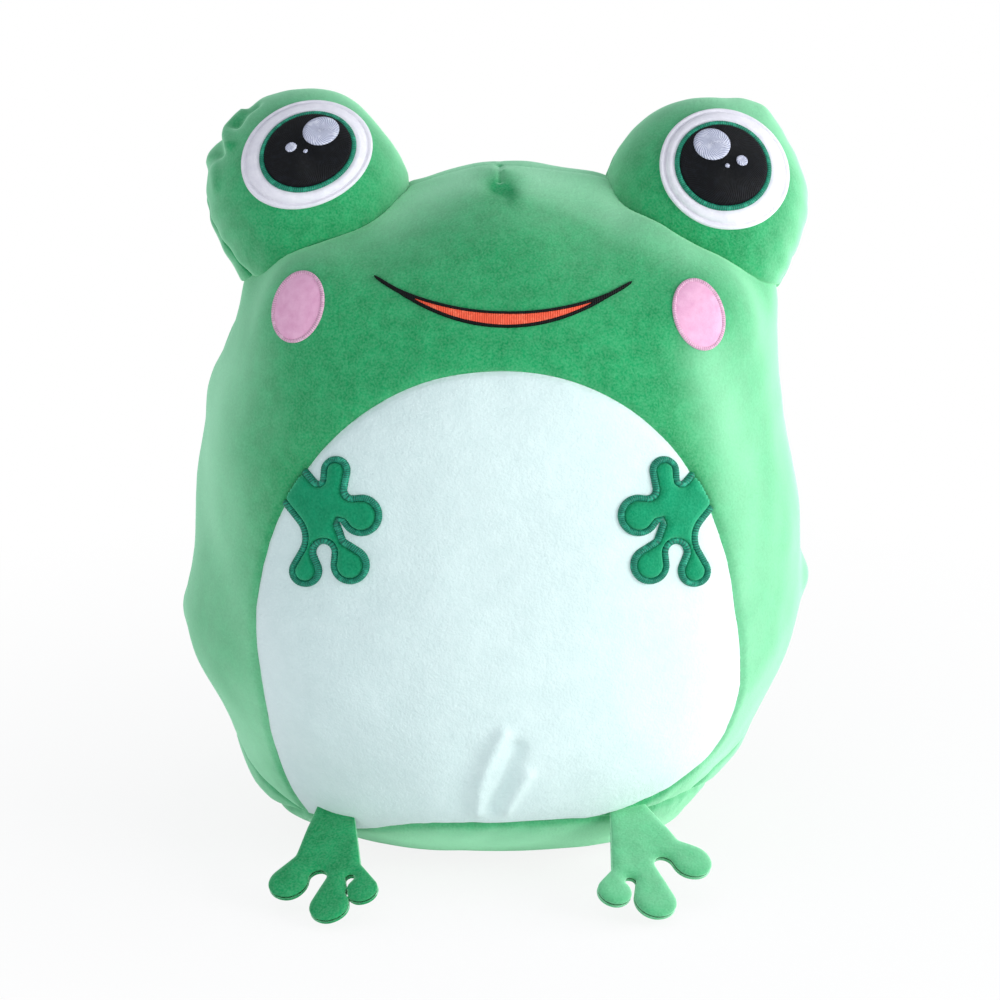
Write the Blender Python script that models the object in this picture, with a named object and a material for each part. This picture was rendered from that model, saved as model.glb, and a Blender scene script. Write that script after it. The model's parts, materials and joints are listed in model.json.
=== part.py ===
"""Plush frog that sits on its base, with a tummy, two eye mounds and two folding feet.

Metres, +Z up. The frog faces -Y, and "left" is -X, the left of a viewer in front of it.
The origin is the middle of the flat patch that it sits on. The velour skin is five panels
round one filling. The face leans back, so its features are drawn on a tilted plane and
pressed straight back onto the body. Each foot is a padded flap that folds at the base seam.
"""

import math

import bmesh
import bpy
from mathutils import Matrix, Vector
from mathutils.bvhtree import BVHTree

# Whole body
BODY_HEIGHT = 0.248
BODY_HALF_WIDTH = 0.112
BODY_FRONT_DEPTH = 0.090
BODY_BACK_DEPTH = 0.084
BASE_FLAT_DEPTH = 0.0005
FACE_LEAN = math.radians(20)

# Cloth, and the clearance between any two pieces that are sewn together
CLOTH_THICKNESS = 0.0018
SEAM_GAP = 0.0003

# Height, half width, front depth, back depth and sideways shift of each ring, bottom to top
BODY_RING_shares = [
    (0.000, 0.00, 0.00, 0.00, 0.020),
    (0.003, 0.40, 0.18, 0.21, 0.020),
    (0.012, 0.56, 0.41, 0.41, 0.000),
    (0.047, 0.665, 0.66, 0.60, -0.040),
    (0.122, 0.775, 0.87, 0.80, -0.055),
    (0.215, 0.885, 0.975, 0.94, -0.032),
    (0.300, 0.975, 1.00, 0.985, -0.030),
    (0.385, 0.995, 0.995, 1.00, -0.020),
    (0.490, 0.965, 0.965, 1.00, 0.000),
    (0.620, 0.93, 0.90, 0.94, -0.015),
    (0.745, 0.87, 0.82, 0.85, 0.000),
    (0.850, 0.715, 0.69, 0.71, 0.010),
    (0.935, 0.41, 0.46, 0.48, 0.010),
    (0.982, 0.18, 0.23, 0.24, 0.010),
    (1.000, 0.00, 0.00, 0.00, 0.010),
]
BODY_SQUARENESS = 2.15
BODY_COLUMNS = 40
BODY_ROWS = 28
# The filling has every second column, so that its facets stay inside the skin's
FILLING_COLUMNS = BODY_COLUMNS // 2
FILLING_ROWS = BODY_ROWS

# Seams of the skin
SIDE_SEAM_BEHIND_MIDDLE = 0.008
SIDE_SEAM_BEND_share = 0.383
SIDE_SEAM_LOW_FRONT_share = 0.667
SIDE_SEAM_LOW_HEIGHT_share = 0.065
SIDE_SEAM_BEND_HEIGHT = BODY_HEIGHT * SIDE_SEAM_BEND_share
SIDE_SEAM_LOW_FRONT = BODY_FRONT_DEPTH * SIDE_SEAM_LOW_FRONT_share
SIDE_SEAM_LOW_HEIGHT = BODY_HEIGHT * SIDE_SEAM_LOW_HEIGHT_share
SIDE_SEAM_STEPS = 6
SIDE_STRIP_WIDTH = 0.0040
BASE_SEAM_FRONT_share = 0.125
BASE_SEAM_BACK_share = 0.048
BASE_SEAM_FRONT_HEIGHT = BODY_HEIGHT * BASE_SEAM_FRONT_share
BASE_SEAM_BACK_HEIGHT = BODY_HEIGHT * BASE_SEAM_BACK_share
CROWN_DART_LENGTH = 0.012
CROWN_DART_WIDTH = 0.0008

# Tummy panel, on the face plane
TUMMY_HALF_WIDTH_share = 0.781
TUMMY_UPPER_HEIGHT_share = 0.335
TUMMY_LOWER_HEIGHT_share = 0.339
TUMMY_HALF_WIDTH = BODY_HALF_WIDTH * TUMMY_HALF_WIDTH_share
TUMMY_UPPER_HEIGHT = BODY_HEIGHT * TUMMY_UPPER_HEIGHT_share
TUMMY_LOWER_HEIGHT = BODY_HEIGHT * TUMMY_LOWER_HEIGHT_share
TUMMY_UPPER_POWER = 2.0
TUMMY_LOWER_POWER = 2.6
TUMMY_SIDE_share = -0.016
TUMMY_PLACE_share = 0.318
TUMMY_STEPS = 48

# Felt and stitched trims
FELT_THICKNESS = 0.0010
STITCH_THICKNESS = 0.0008
STITCH_BORDER = 0.0020

# Eye mounds, each a flattened ball on the head
MOUND_RADIUS = 0.0365
MOUND_HALF_DEPTH = 0.030
MOUND_COLUMNS = 24
MOUND_ROWS = 12
MOUND_FILLING_COLUMNS = MOUND_COLUMNS // 2
MOUND_FILLING_ROWS = MOUND_ROWS * 2 // 3
MOUND_LEFT_PLACE_shares = (-0.614, 0.914)
MOUND_RIGHT_PLACE_shares = (0.660, 0.900)
MOUND_BEHIND_MIDDLE = 0.014
MOUND_LEFT_TURN = (math.radians(-1), math.radians(23))
MOUND_RIGHT_TURN = (math.radians(11), math.radians(18))

# Eye on each mound, as stacked discs
EYE_WHITE_RADIUS = 0.0236
EYE_RING_RADIUS = 0.0173
EYE_RING_WIDTH = 0.0020
EYE_RISE = 0.0012
GLINT_RADIUS = 0.0063
GLINT_SMALL_RADIUS = 0.0022
GLINT_TINY_RADIUS = 0.0008
# Places on the right pupil, mirrored on the left one
GLINT_PLACE_shares = (-0.26, 0.49)
GLINT_SMALL_PLACE_shares = (0.42, 0.05)
GLINT_TINY_PLACE_shares = (0.04, -0.09)
DISC_STEPS = 30
GLINT_STEPS = 10

# Cheeks, as stitched ovals
CHEEK_HALF_WIDTH = 0.0090
CHEEK_HALF_HEIGHT = 0.0130
CHEEK_BORDER = 0.0013
CHEEK_LEAN = math.radians(16)
CHEEK_LEFT_PLACE_shares = (-0.636, 0.739)
CHEEK_RIGHT_PLACE_shares = (0.626, 0.728)
CHEEK_STEPS = 24

# Mouth, two stitched lines with a red filling between
MOUTH_HALF_WIDTH = 0.0466
MOUTH_LOWER_DROP = 0.0170
MOUTH_UPPER_DROP = 0.0124
MOUTH_LINE_WIDTH = 0.0014
MOUTH_LOWER_POWER = 2.3
MOUTH_UPPER_POWER = 1.8
MOUTH_SIDE_share = 0.010
MOUTH_PLACE_share = 0.773
MOUTH_STEPS = 14

# Hand: across, up and radius of each round, as shares of the hand, from the wrist round
# the fingers. The kind is 1 for a finger pad or a corner and -1 for a gap.
HAND_LENGTH_share = 0.424
HAND_LENGTH = BODY_HALF_WIDTH * HAND_LENGTH_share
HAND_THICKNESS = 0.0016
HAND_PLACE_shares = (0.582, 0.445)
HAND_ROUND_shares = [
    (-0.215, 0.085, 0.050, 1),
    (-0.355, -0.168, 0.228, -1),
    (-0.100, -0.430, 0.124, 1),
    (0.036, -0.285, 0.060, -1),
    (0.235, -0.400, 0.146, 1),
    (0.178, -0.100, 0.010, -1),
    (0.330, -0.015, 0.152, 1),
    (0.232, 0.158, 0.036, -1),
    (0.130, 0.336, 0.109, 1),
    (0.010, 0.262, 0.014, -1),
    (-0.150, 0.330, 0.050, 1),
    (-0.300, 0.230, 0.050, 1),
]

# Foot: across (towards the outer toe), along and radius of each round, as shares of the foot
FOOT_LENGTH = 0.0460
FOOT_CLOTH = 0.0010
FOOT_WADDING = 0.0010
FOOT_RIM = 0.0016
FOOT_EDGE_ROUND = 0.0006
FOOT_ROOT_GAP = 0.0004
FOOT_ROOT_HALF_WIDTH = 0.0084
FOOT_ROOT_CORNER = 0.0022
FOOT_ROUND_shares = [
    (0.450, 0.240, 0.125, -1),
    (0.415, 0.600, 0.160, 1),
    (0.173, 0.525, 0.080, -1),
    (0.000, 0.860, 0.170, 1),
    (-0.170, 0.600, 0.050, -1),
    (-0.350, 0.735, 0.145, 1),
    (-0.385, 0.330, 0.170, -1),
]
FOOT_LEFT_PLACE_share = -0.490
FOOT_RIGHT_PLACE_share = 0.375
FOOT_LEFT_SPLAY = math.radians(-15)
FOOT_RIGHT_SPLAY = math.radians(-3)
FOOT_SLOPE = math.radians(28)

# Drawing of the outlines
ROUND_STEPS = 14
# How far into its first step an oval starts, so that no corner lies on an axis
OVAL_START_share = 0.37
# How far a cutter runs past what it cuts
OVERRUN = 0.060
# Where the face's cutters start, in front of the leaning plane through the origin
FACE_CUT_START = BODY_FRONT_DEPTH / 2

FACE = Matrix.Rotation(math.radians(90) - FACE_LEAN, 4, "X")


# Blender helpers

def clear_scene():
    """Remove every object that the file starts with."""
    for item in list(bpy.data.objects):
        bpy.data.objects.remove(item, do_unlink=True)


def material(name, colour, roughness):
    """Return the named cloth material, made once."""
    found = bpy.data.materials.get(name)
    if found:
        return found
    made = bpy.data.materials.new(name)
    made.use_nodes = True
    made.diffuse_color = (*colour, 1.0)
    shader = made.node_tree.nodes["Principled BSDF"]
    shader.inputs["Base Color"].default_value = (*colour, 1.0)
    shader.inputs["Roughness"].default_value = roughness
    shader.inputs["Metallic"].default_value = 0.0
    return made


VELOUR_GREEN = ("velour_green", (0.04, 0.32, 0.12), 0.9)
VELOUR_MINT = ("velour_mint", (0.60, 0.80, 0.75), 0.9)
FELT_WHITE = ("felt_white", (0.80, 0.80, 0.82), 0.95)
FELT_PINK = ("felt_pink", (0.75, 0.36, 0.52), 0.95)
THREAD_TEAL = ("thread_teal", (0.01, 0.14, 0.10), 0.6)
THREAD_BLACK = ("thread_black", (0.01, 0.01, 0.014), 0.6)
THREAD_WHITE = ("thread_white", (0.62, 0.64, 0.74), 0.6)
THREAD_RED = ("thread_red", (0.90, 0.12, 0.05), 0.6)
THREAD_PINK = ("thread_pink", (0.70, 0.45, 0.55), 0.6)
FIBRE_WHITE = ("polyester_fibre", (0.85, 0.85, 0.83), 1.0)


def new_piece(name, shape, finish=None):
    """Turn a bmesh into an object, and free the bmesh."""
    mesh = bpy.data.meshes.new(name)
    shape.to_mesh(mesh)
    shape.free()
    piece = bpy.data.objects.new(name, mesh)
    bpy.context.scene.collection.objects.link(piece)
    if finish:
        mesh.materials.append(material(*finish))
    return piece


def combine(piece, tool, operation):
    """Apply one Boolean to the piece and remove the tool.

    Every mesh here is closed. The EXACT solver left open edges, or nothing, where a thin
    layer meets two seams, so the MANIFOLD solver makes the cuts.
    """
    modifier = piece.modifiers.new("cut", "BOOLEAN")
    modifier.operation = operation
    modifier.object = tool
    modifier.solver = "MANIFOLD"
    finishes = [slot.material for slot in piece.material_slots]
    depsgraph = bpy.context.evaluated_depsgraph_get()
    mesh = bpy.data.meshes.new_from_object(piece.evaluated_get(depsgraph))
    piece.modifiers.remove(modifier)
    piece.data = mesh
    mesh.materials.clear()
    for finish in finishes:
        mesh.materials.append(finish)
    bpy.data.objects.remove(tool, do_unlink=True)
    return piece


def keep_inside(piece, tool):
    """Keep what lies inside the tool."""
    return combine(piece, tool, "INTERSECT")


def cut_away(piece, tool):
    """Take the tool's shape out of the piece."""
    return combine(piece, tool, "DIFFERENCE")


def finish_shading(piece):
    """Shade the piece smooth, apart from its cut edges."""
    piece.data.shade_smooth()
    piece.data.set_sharp_from_angle(angle=math.radians(40))
    return piece


# Outlines on a plane

def oval(half_width, half_height, lean, across, up, steps):
    """Return the points of a leaning oval round a place, none of them on an axis."""
    points = []
    for step in range(steps):
        angle = math.tau * (step + OVAL_START_share) / steps
        x = half_width * math.cos(angle)
        y = half_height * math.sin(angle)
        turned_x = x * math.cos(lean) - y * math.sin(lean)
        turned_y = x * math.sin(lean) + y * math.cos(lean)
        points.append((across + turned_x, up + turned_y))
    return points


def belt(rounds, inset):
    """Return the outline that runs round every circle, anticlockwise and moved in by inset.

    Each circle is (x, y, radius, kind). The outline passes outside a pad, of kind 1, and
    inside a gap, of kind -1, and runs straight between them.
    """
    count = len(rounds)
    reach = [kind * radius - inset for x, y, radius, kind in rounds]
    angles = []
    for index in range(count):
        here = rounds[index]
        there = rounds[(index + 1) % count]
        run = Vector((there[0] - here[0], there[1] - here[1]))
        lean = (reach[index] - reach[(index + 1) % count]) / run.length
        angles.append(math.atan2(run.y, run.x) - math.acos(max(-1.0, min(1.0, lean))))
    points = []
    for index, (x, y, radius, kind) in enumerate(rounds):
        start = angles[index - 1]
        sweep = (angles[index] - start) % math.tau
        if kind < 0:
            sweep -= math.tau
        steps = max(1, math.ceil(abs(sweep) / math.tau * ROUND_STEPS))
        for step in range(steps + 1):
            angle = start + sweep * step / steps
            points.append((x + reach[index] * math.cos(angle), y + reach[index] * math.sin(angle)))
    return points


def prism(name, outline, frame, low, high):
    """Return a solid that runs along the frame's Z between two heights over an outline."""
    shape = bmesh.new()
    corners = [shape.verts.new((x, y, low)) for x, y in outline]
    shape.faces.new(corners)
    grown = bmesh.ops.extrude_face_region(shape, geom=list(shape.faces))
    top = [item for item in grown["geom"] if isinstance(item, bmesh.types.BMVert)]
    bmesh.ops.translate(shape, verts=top, vec=(0, 0, high - low))
    bmesh.ops.recalc_face_normals(shape, faces=shape.faces)
    bmesh.ops.transform(shape, matrix=frame, verts=shape.verts)
    return new_piece(name, shape)


# Body form

def ring_at(height_share):
    """Return the body's ring values at a share of the way up its list of rings."""
    last = len(BODY_RING_shares) - 1
    place = height_share * last
    index = min(int(place), last - 1)
    part = place - index
    here = BODY_RING_shares[index]
    there = BODY_RING_shares[index + 1]
    before = BODY_RING_shares[index - 1] if index > 0 else None
    after = BODY_RING_shares[index + 2] if index + 2 <= last else None
    values = []
    for column in range(len(here)):
        p1 = here[column]
        p2 = there[column]
        p0 = before[column] if before else 2 * p1 - p2
        p3 = after[column] if after else 2 * p2 - p1
        bend = 2 * p0 - 5 * p1 + 4 * p2 - p3
        twist = 3 * p1 - p0 - 3 * p2 + p3
        values.append((2 * p1 + (p2 - p0) * part + bend * part ** 2 + twist * part ** 3) / 2)
    return values


def squared(value):
    """Return a cosine or sine pulled towards a square section."""
    return math.copysign(abs(value) ** (2 / BODY_SQUARENESS), value)


def body_shape(grow, columns=BODY_COLUMNS, rows=BODY_ROWS):
    """Return the body's closed form as a bmesh, moved outwards by grow."""
    shape = bmesh.new()
    bmesh.ops.create_uvsphere(shape, u_segments=columns, v_segments=rows, radius=1)
    for vert in shape.verts:
        latitude = math.asin(max(-1.0, min(1.0, vert.co.z)))
        height, half, front, back, side = ring_at(latitude / math.pi + 0.5)
        flat = math.hypot(vert.co.x, vert.co.y)
        cosine = squared(vert.co.x / flat) if flat > 0 else 0.0
        sine = squared(vert.co.y / flat) if flat > 0 else 0.0
        depth = BODY_FRONT_DEPTH * front if sine < 0 else BODY_BACK_DEPTH * back
        vert.co.x = BODY_HALF_WIDTH * (half * cosine + side)
        vert.co.y = depth * sine
        vert.co.z = BODY_HEIGHT * height - BASE_FLAT_DEPTH
    shape.normal_update()
    for vert in shape.verts:
        vert.co += vert.normal * grow
    everything = shape.verts[:] + shape.edges[:] + shape.faces[:]
    cut = bmesh.ops.bisect_plane(
        shape, geom=everything, plane_co=(0, 0, -grow), plane_no=(0, 0, 1), clear_inner=True
    )
    rim = [item for item in cut["geom_cut"] if isinstance(item, bmesh.types.BMEdge)]
    bmesh.ops.edgeloop_fill(shape, edges=rim)
    bmesh.ops.recalc_face_normals(shape, faces=shape.faces)
    return shape


def body_solid(grow, columns=BODY_COLUMNS, rows=BODY_ROWS):
    """Return the body's form as an object."""
    return new_piece("body_form", body_shape(grow, columns, rows))


def body_tree():
    """Return a search tree of the body's outer surface."""
    shape = body_shape(0)
    tree = BVHTree.FromBMesh(shape)
    shape.free()
    return tree


# Regions that divide the skin

def tummy_outline(grow):
    """Return the tummy's outline on the face plane, moved outwards by grow."""
    points = []
    for step in range(TUMMY_STEPS):
        angle = math.tau * (step + OVAL_START_share) / TUMMY_STEPS
        upper = math.sin(angle) >= 0
        power = 2 / (TUMMY_UPPER_POWER if upper else TUMMY_LOWER_POWER)
        height = (TUMMY_UPPER_HEIGHT if upper else TUMMY_LOWER_HEIGHT) + grow
        x = math.copysign(abs(math.cos(angle)) ** power, math.cos(angle))
        y = math.copysign(abs(math.sin(angle)) ** power, math.sin(angle))
        across = BODY_HALF_WIDTH * TUMMY_SIDE_share + (TUMMY_HALF_WIDTH + grow) * x
        points.append((across, BODY_HEIGHT * TUMMY_PLACE_share + height * y))
    return points


def tummy_region(grow):
    """Return the solid in front of the face plane over the tummy's outline."""
    return prism("tummy_region", tummy_outline(grow), FACE, FACE_CUT_START, BODY_HEIGHT)


def front_region(grow):
    """Return the region of the front panels: before the side seam, or near the tummy."""
    far = BODY_FRONT_DEPTH + OVERRUN
    top = BODY_HEIGHT + OVERRUN
    middle = SIDE_SEAM_BEHIND_MIDDLE
    low = Vector((-SIDE_SEAM_LOW_FRONT, SIDE_SEAM_LOW_HEIGHT))
    high = Vector((middle, SIDE_SEAM_BEND_HEIGHT))
    between = Vector(((middle - SIDE_SEAM_LOW_FRONT) / 2, SIDE_SEAM_LOW_HEIGHT))
    outline = [(middle, top), (-far, top), (-far, SIDE_SEAM_LOW_HEIGHT)]
    for step in range(SIDE_SEAM_STEPS + 1):
        share = step / SIDE_SEAM_STEPS
        rise = low.lerp(between, share).lerp(between.lerp(high, share), share)
        outline.append(rise[:])
    along_x = Matrix(((0, 0, 1, 0), (1, 0, 0, grow), (0, 1, 0, -grow), (0, 0, 0, 1)))
    side = BODY_HALF_WIDTH + OVERRUN
    region = prism("front_region", outline, along_x, -side, side)
    return combine(region, tummy_region(SIDE_STRIP_WIDTH + grow), "UNION")


def base_frame():
    """Return the base seam's plane: its middle, and its Z pointing up."""
    run = BODY_FRONT_DEPTH + BODY_BACK_DEPTH
    tilt = math.atan2(BASE_SEAM_BACK_HEIGHT - BASE_SEAM_FRONT_HEIGHT, run)
    place = Matrix.Translation((0, -BODY_FRONT_DEPTH, BASE_SEAM_FRONT_HEIGHT))
    return place @ Matrix.Rotation(tilt, 4, "X")


def base_region(grow):
    """Return the region below the base seam."""
    side = BODY_HALF_WIDTH + OVERRUN
    back = BODY_FRONT_DEPTH + BODY_BACK_DEPTH + OVERRUN
    outline = [(-side, -OVERRUN), (side, -OVERRUN), (side, back), (-side, back)]
    return prism("base_region", outline, base_frame(), -OVERRUN - BASE_SEAM_FRONT_HEIGHT, grow)


def side_region(sign, grow):
    """Return the half of the space on one side of the centre seam."""
    side = BODY_HALF_WIDTH + OVERRUN
    depth = BODY_FRONT_DEPTH + OVERRUN
    near = sign * grow
    far = sign * side
    outline = [(near, -depth), (far, -depth), (far, depth), (near, depth)]
    return prism("side_region", outline, Matrix.Identity(4), -OVERRUN, BODY_HEIGHT + OVERRUN)


def crown_dart():
    """Return the thin wedge that closes as a dart on the crown, in front of the side seam."""
    start = SIDE_SEAM_BEHIND_MIDDLE + OVERRUN
    slope = CROWN_DART_WIDTH / CROWN_DART_LENGTH
    half = slope * (CROWN_DART_LENGTH + OVERRUN) / 2
    tip = SIDE_SEAM_BEHIND_MIDDLE - CROWN_DART_LENGTH
    outline = [(0, tip), (half, start), (-half, start)]
    return prism("dart", outline, Matrix.Identity(4), BODY_HEIGHT - OVERRUN, BODY_HEIGHT + OVERRUN)


# Skin and filling of the body

def skin_part(name, region, neighbours, finish):
    """Return the skin inside a region, clear of the neighbours' regions."""
    piece = body_solid(0)
    piece.name = name
    piece.data.materials.append(material(*finish))
    keep_inside(piece, region)
    for neighbour in neighbours:
        cut_away(piece, neighbour)
    return cut_away(piece, body_solid(-CLOTH_THICKNESS))


def make_skin():
    """Make the five panels of the body and its filling."""
    below = [base_region(SEAM_GAP)]
    pieces = [skin_part("tummy_panel", tummy_region(0), below, VELOUR_MINT)]
    inside = [base_region(SEAM_GAP), tummy_region(SEAM_GAP), crown_dart()]
    pieces.append(skin_part("front_panel", front_region(0), inside, VELOUR_GREEN))
    for side, sign in (("left", -1), ("right", 1)):
        before = [front_region(SEAM_GAP), base_region(SEAM_GAP)]
        half = side_region(sign, SEAM_GAP / 2)
        pieces.append(skin_part(f"back_panel_{side}", half, before, VELOUR_GREEN))
    pieces.append(skin_part("base_panel", base_region(0), [], VELOUR_GREEN))
    inner = body_shape(-CLOTH_THICKNESS - SEAM_GAP, FILLING_COLUMNS, FILLING_ROWS)
    pieces.append(new_piece("body_filling", inner, FIBRE_WHITE))
    for piece in pieces:
        finish_shading(piece)


# Trims pressed on the body

def pressed(name, cutters, low, high, finish):
    """Return a layer between two heights over the body, as far as it lies in every cutter."""
    piece = body_solid(high)
    piece.name = name
    piece.data.materials.append(material(*finish))
    for cutter in cutters:
        keep_inside(piece, cutter)
    return cut_away(piece, body_solid(low))


def face_cutter(outline):
    """Return a prism in front of the face plane over an outline."""
    return prism("face_cutter", outline, FACE, FACE_CUT_START, BODY_HEIGHT)


def make_cheeks():
    """Make the two felt cheeks and the stitches round them."""
    top = SEAM_GAP + FELT_THICKNESS
    places = (
        ("left", -CHEEK_LEAN, CHEEK_LEFT_PLACE_shares),
        ("right", CHEEK_LEAN, CHEEK_RIGHT_PLACE_shares),
    )
    for side, lean, shares in places:
        across = BODY_HALF_WIDTH * shares[0]
        up = BODY_HEIGHT * shares[1]

        def rim(inset):
            wide = CHEEK_HALF_WIDTH - inset
            high = CHEEK_HALF_HEIGHT - inset
            return oval(wide, high, lean, across, up, CHEEK_STEPS)

        patch_cutter = face_cutter(rim(CHEEK_BORDER + SEAM_GAP))
        patch = pressed(f"cheek_{side}", [patch_cutter], SEAM_GAP, top, FELT_PINK)
        border_cutter = face_cutter(rim(0))
        border = pressed(f"cheek_border_{side}", [border_cutter], SEAM_GAP, top, THREAD_PINK)
        cut_away(border, face_cutter(rim(CHEEK_BORDER)))
        finish_shading(patch)
        finish_shading(border)


def mouth_outline(inset):
    """Return the outline of the smile, moved in by inset, as far as it stays open."""
    across = BODY_HALF_WIDTH * MOUTH_SIDE_share
    up = BODY_HEIGHT * MOUTH_PLACE_share
    lower = []
    upper = []
    for step in range(-MOUTH_STEPS, MOUTH_STEPS + 1):
        share = math.sin(math.pi / 2 * step / MOUTH_STEPS)
        drop_low = MOUTH_LOWER_DROP * (1 - abs(share) ** MOUTH_LOWER_POWER)
        drop_high = MOUTH_UPPER_DROP * (1 - abs(share) ** MOUTH_UPPER_POWER)
        low = -drop_low - MOUTH_LINE_WIDTH / 2 + inset
        high = -drop_high + MOUTH_LINE_WIDTH / 2 - inset
        if high - low > MOUTH_LINE_WIDTH / 2:
            lower.append((across + MOUTH_HALF_WIDTH * share, up + low))
            upper.append((across + MOUTH_HALF_WIDTH * share, up + high))
    return lower + upper[::-1]


def make_mouth():
    """Make the black lines of the smile and the red filling between them."""
    top = SEAM_GAP + STITCH_THICKNESS
    whole = face_cutter(mouth_outline(0))
    line = pressed("mouth_line", [whole], SEAM_GAP, top, THREAD_BLACK)
    cut_away(line, face_cutter(mouth_outline(MOUTH_LINE_WIDTH)))
    inside = face_cutter(mouth_outline(MOUTH_LINE_WIDTH + SEAM_GAP))
    filling = pressed("mouth_filling", [inside], SEAM_GAP, top, THREAD_RED)
    finish_shading(line)
    finish_shading(filling)


def hand_outline(sign, inset):
    """Return one hand's outline on the face plane, moved in by inset."""
    across = sign * BODY_HALF_WIDTH * HAND_PLACE_shares[0]
    up = BODY_HEIGHT * HAND_PLACE_shares[1]
    rounds = []
    for x, y, radius, kind in HAND_ROUND_shares:
        place = (HAND_LENGTH * x, HAND_LENGTH * y)
        rounds.append((*place, HAND_LENGTH * radius, kind))
    return [(across - sign * x, up + y) for x, y in belt(rounds, inset)]


def make_hands():
    """Make the two sewn hands and the thick stitching round them, cut at the tummy seam."""
    top = SEAM_GAP + HAND_THICKNESS
    for side, sign in (("left", -1), ("right", 1)):
        inner = face_cutter(hand_outline(sign, STITCH_BORDER + SEAM_GAP))
        patch_cutters = [tummy_region(-SEAM_GAP), inner]
        patch = pressed(f"hand_{side}", patch_cutters, SEAM_GAP, top, VELOUR_GREEN)
        border_cutters = [tummy_region(-SEAM_GAP), face_cutter(hand_outline(sign, 0))]
        border = pressed(f"hand_border_{side}", border_cutters, SEAM_GAP, top, THREAD_TEAL)
        cut_away(border, face_cutter(hand_outline(sign, STITCH_BORDER)))
        finish_shading(patch)
        finish_shading(border)


# Eye mounds and eyes

def mound_frame(place_shares, turn):
    """Return a mound's frame, with Z pointing out of its eye."""
    yaw, pitch = turn
    view = FACE.to_3x3()
    across = BODY_HALF_WIDTH * place_shares[0]
    up = BODY_HEIGHT * place_shares[1]
    # The centre lies on the line of sight through its place, a little behind the middle
    height = (up - MOUND_BEHIND_MIDDLE * math.sin(FACE_LEAN)) / math.cos(FACE_LEAN)
    place = Matrix.Translation((across, MOUND_BEHIND_MIDDLE, height))
    turned = Matrix.Rotation(yaw, 3, "Y") @ Matrix.Rotation(-pitch, 3, "X")
    return place @ (view @ turned).to_4x4()


def mound_solid(frame, grow, columns=MOUND_COLUMNS, rows=MOUND_ROWS):
    """Return the mound's closed form, moved outwards by grow."""
    shape = bmesh.new()
    bmesh.ops.create_uvsphere(shape, u_segments=columns, v_segments=rows, radius=1)
    wide = MOUND_RADIUS + grow
    deep = MOUND_HALF_DEPTH + grow
    bmesh.ops.scale(shape, vec=(wide, wide, deep), verts=shape.verts)
    bmesh.ops.transform(shape, matrix=frame, verts=shape.verts)
    return new_piece("mound_form", shape)


def mound_layer(name, frame, outline, low, high, finish):
    """Return a layer between two heights over a mound, inside an outline on its frame."""
    piece = mound_solid(frame, high)
    piece.name = name
    piece.data.materials.append(material(*finish))
    keep_inside(piece, prism("eye_region", outline, frame, 0, MOUND_HALF_DEPTH + OVERRUN))
    return cut_away(piece, mound_solid(frame, low))


def mound_half(frame, sign):
    """Return the space before or behind the mound's own seam."""
    wide = MOUND_RADIUS + OVERRUN
    outline = [(-wide, -wide), (wide, -wide), (wide, wide), (-wide, wide)]
    near = sign * SEAM_GAP / 2
    far = sign * (MOUND_HALF_DEPTH + OVERRUN)
    return prism("mound_half", outline, frame, min(near, far), max(near, far))


def make_mound(side, frame):
    """Make one mound's two covers and its filling, all cut by the head."""
    for part, sign in (("front", 1), ("back", -1)):
        cover = mound_solid(frame, 0)
        cover.name = f"eye_mound_{part}_{side}"
        cover.data.materials.append(material(*VELOUR_GREEN))
        cut_away(cover, mound_solid(frame, -CLOTH_THICKNESS))
        keep_inside(cover, mound_half(frame, sign))
        cut_away(cover, body_solid(SEAM_GAP))
        finish_shading(cover)
    inner = -CLOTH_THICKNESS - SEAM_GAP
    filling = mound_solid(frame, inner, MOUND_FILLING_COLUMNS, MOUND_FILLING_ROWS)
    filling.name = f"eye_mound_filling_{side}"
    filling.data.materials.append(material(*FIBRE_WHITE))
    cut_away(filling, body_solid(SEAM_GAP))
    finish_shading(filling)


def disc(radius, across, up, steps):
    """Return a round outline."""
    return oval(radius, radius, 0, across, up, steps)


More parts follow.
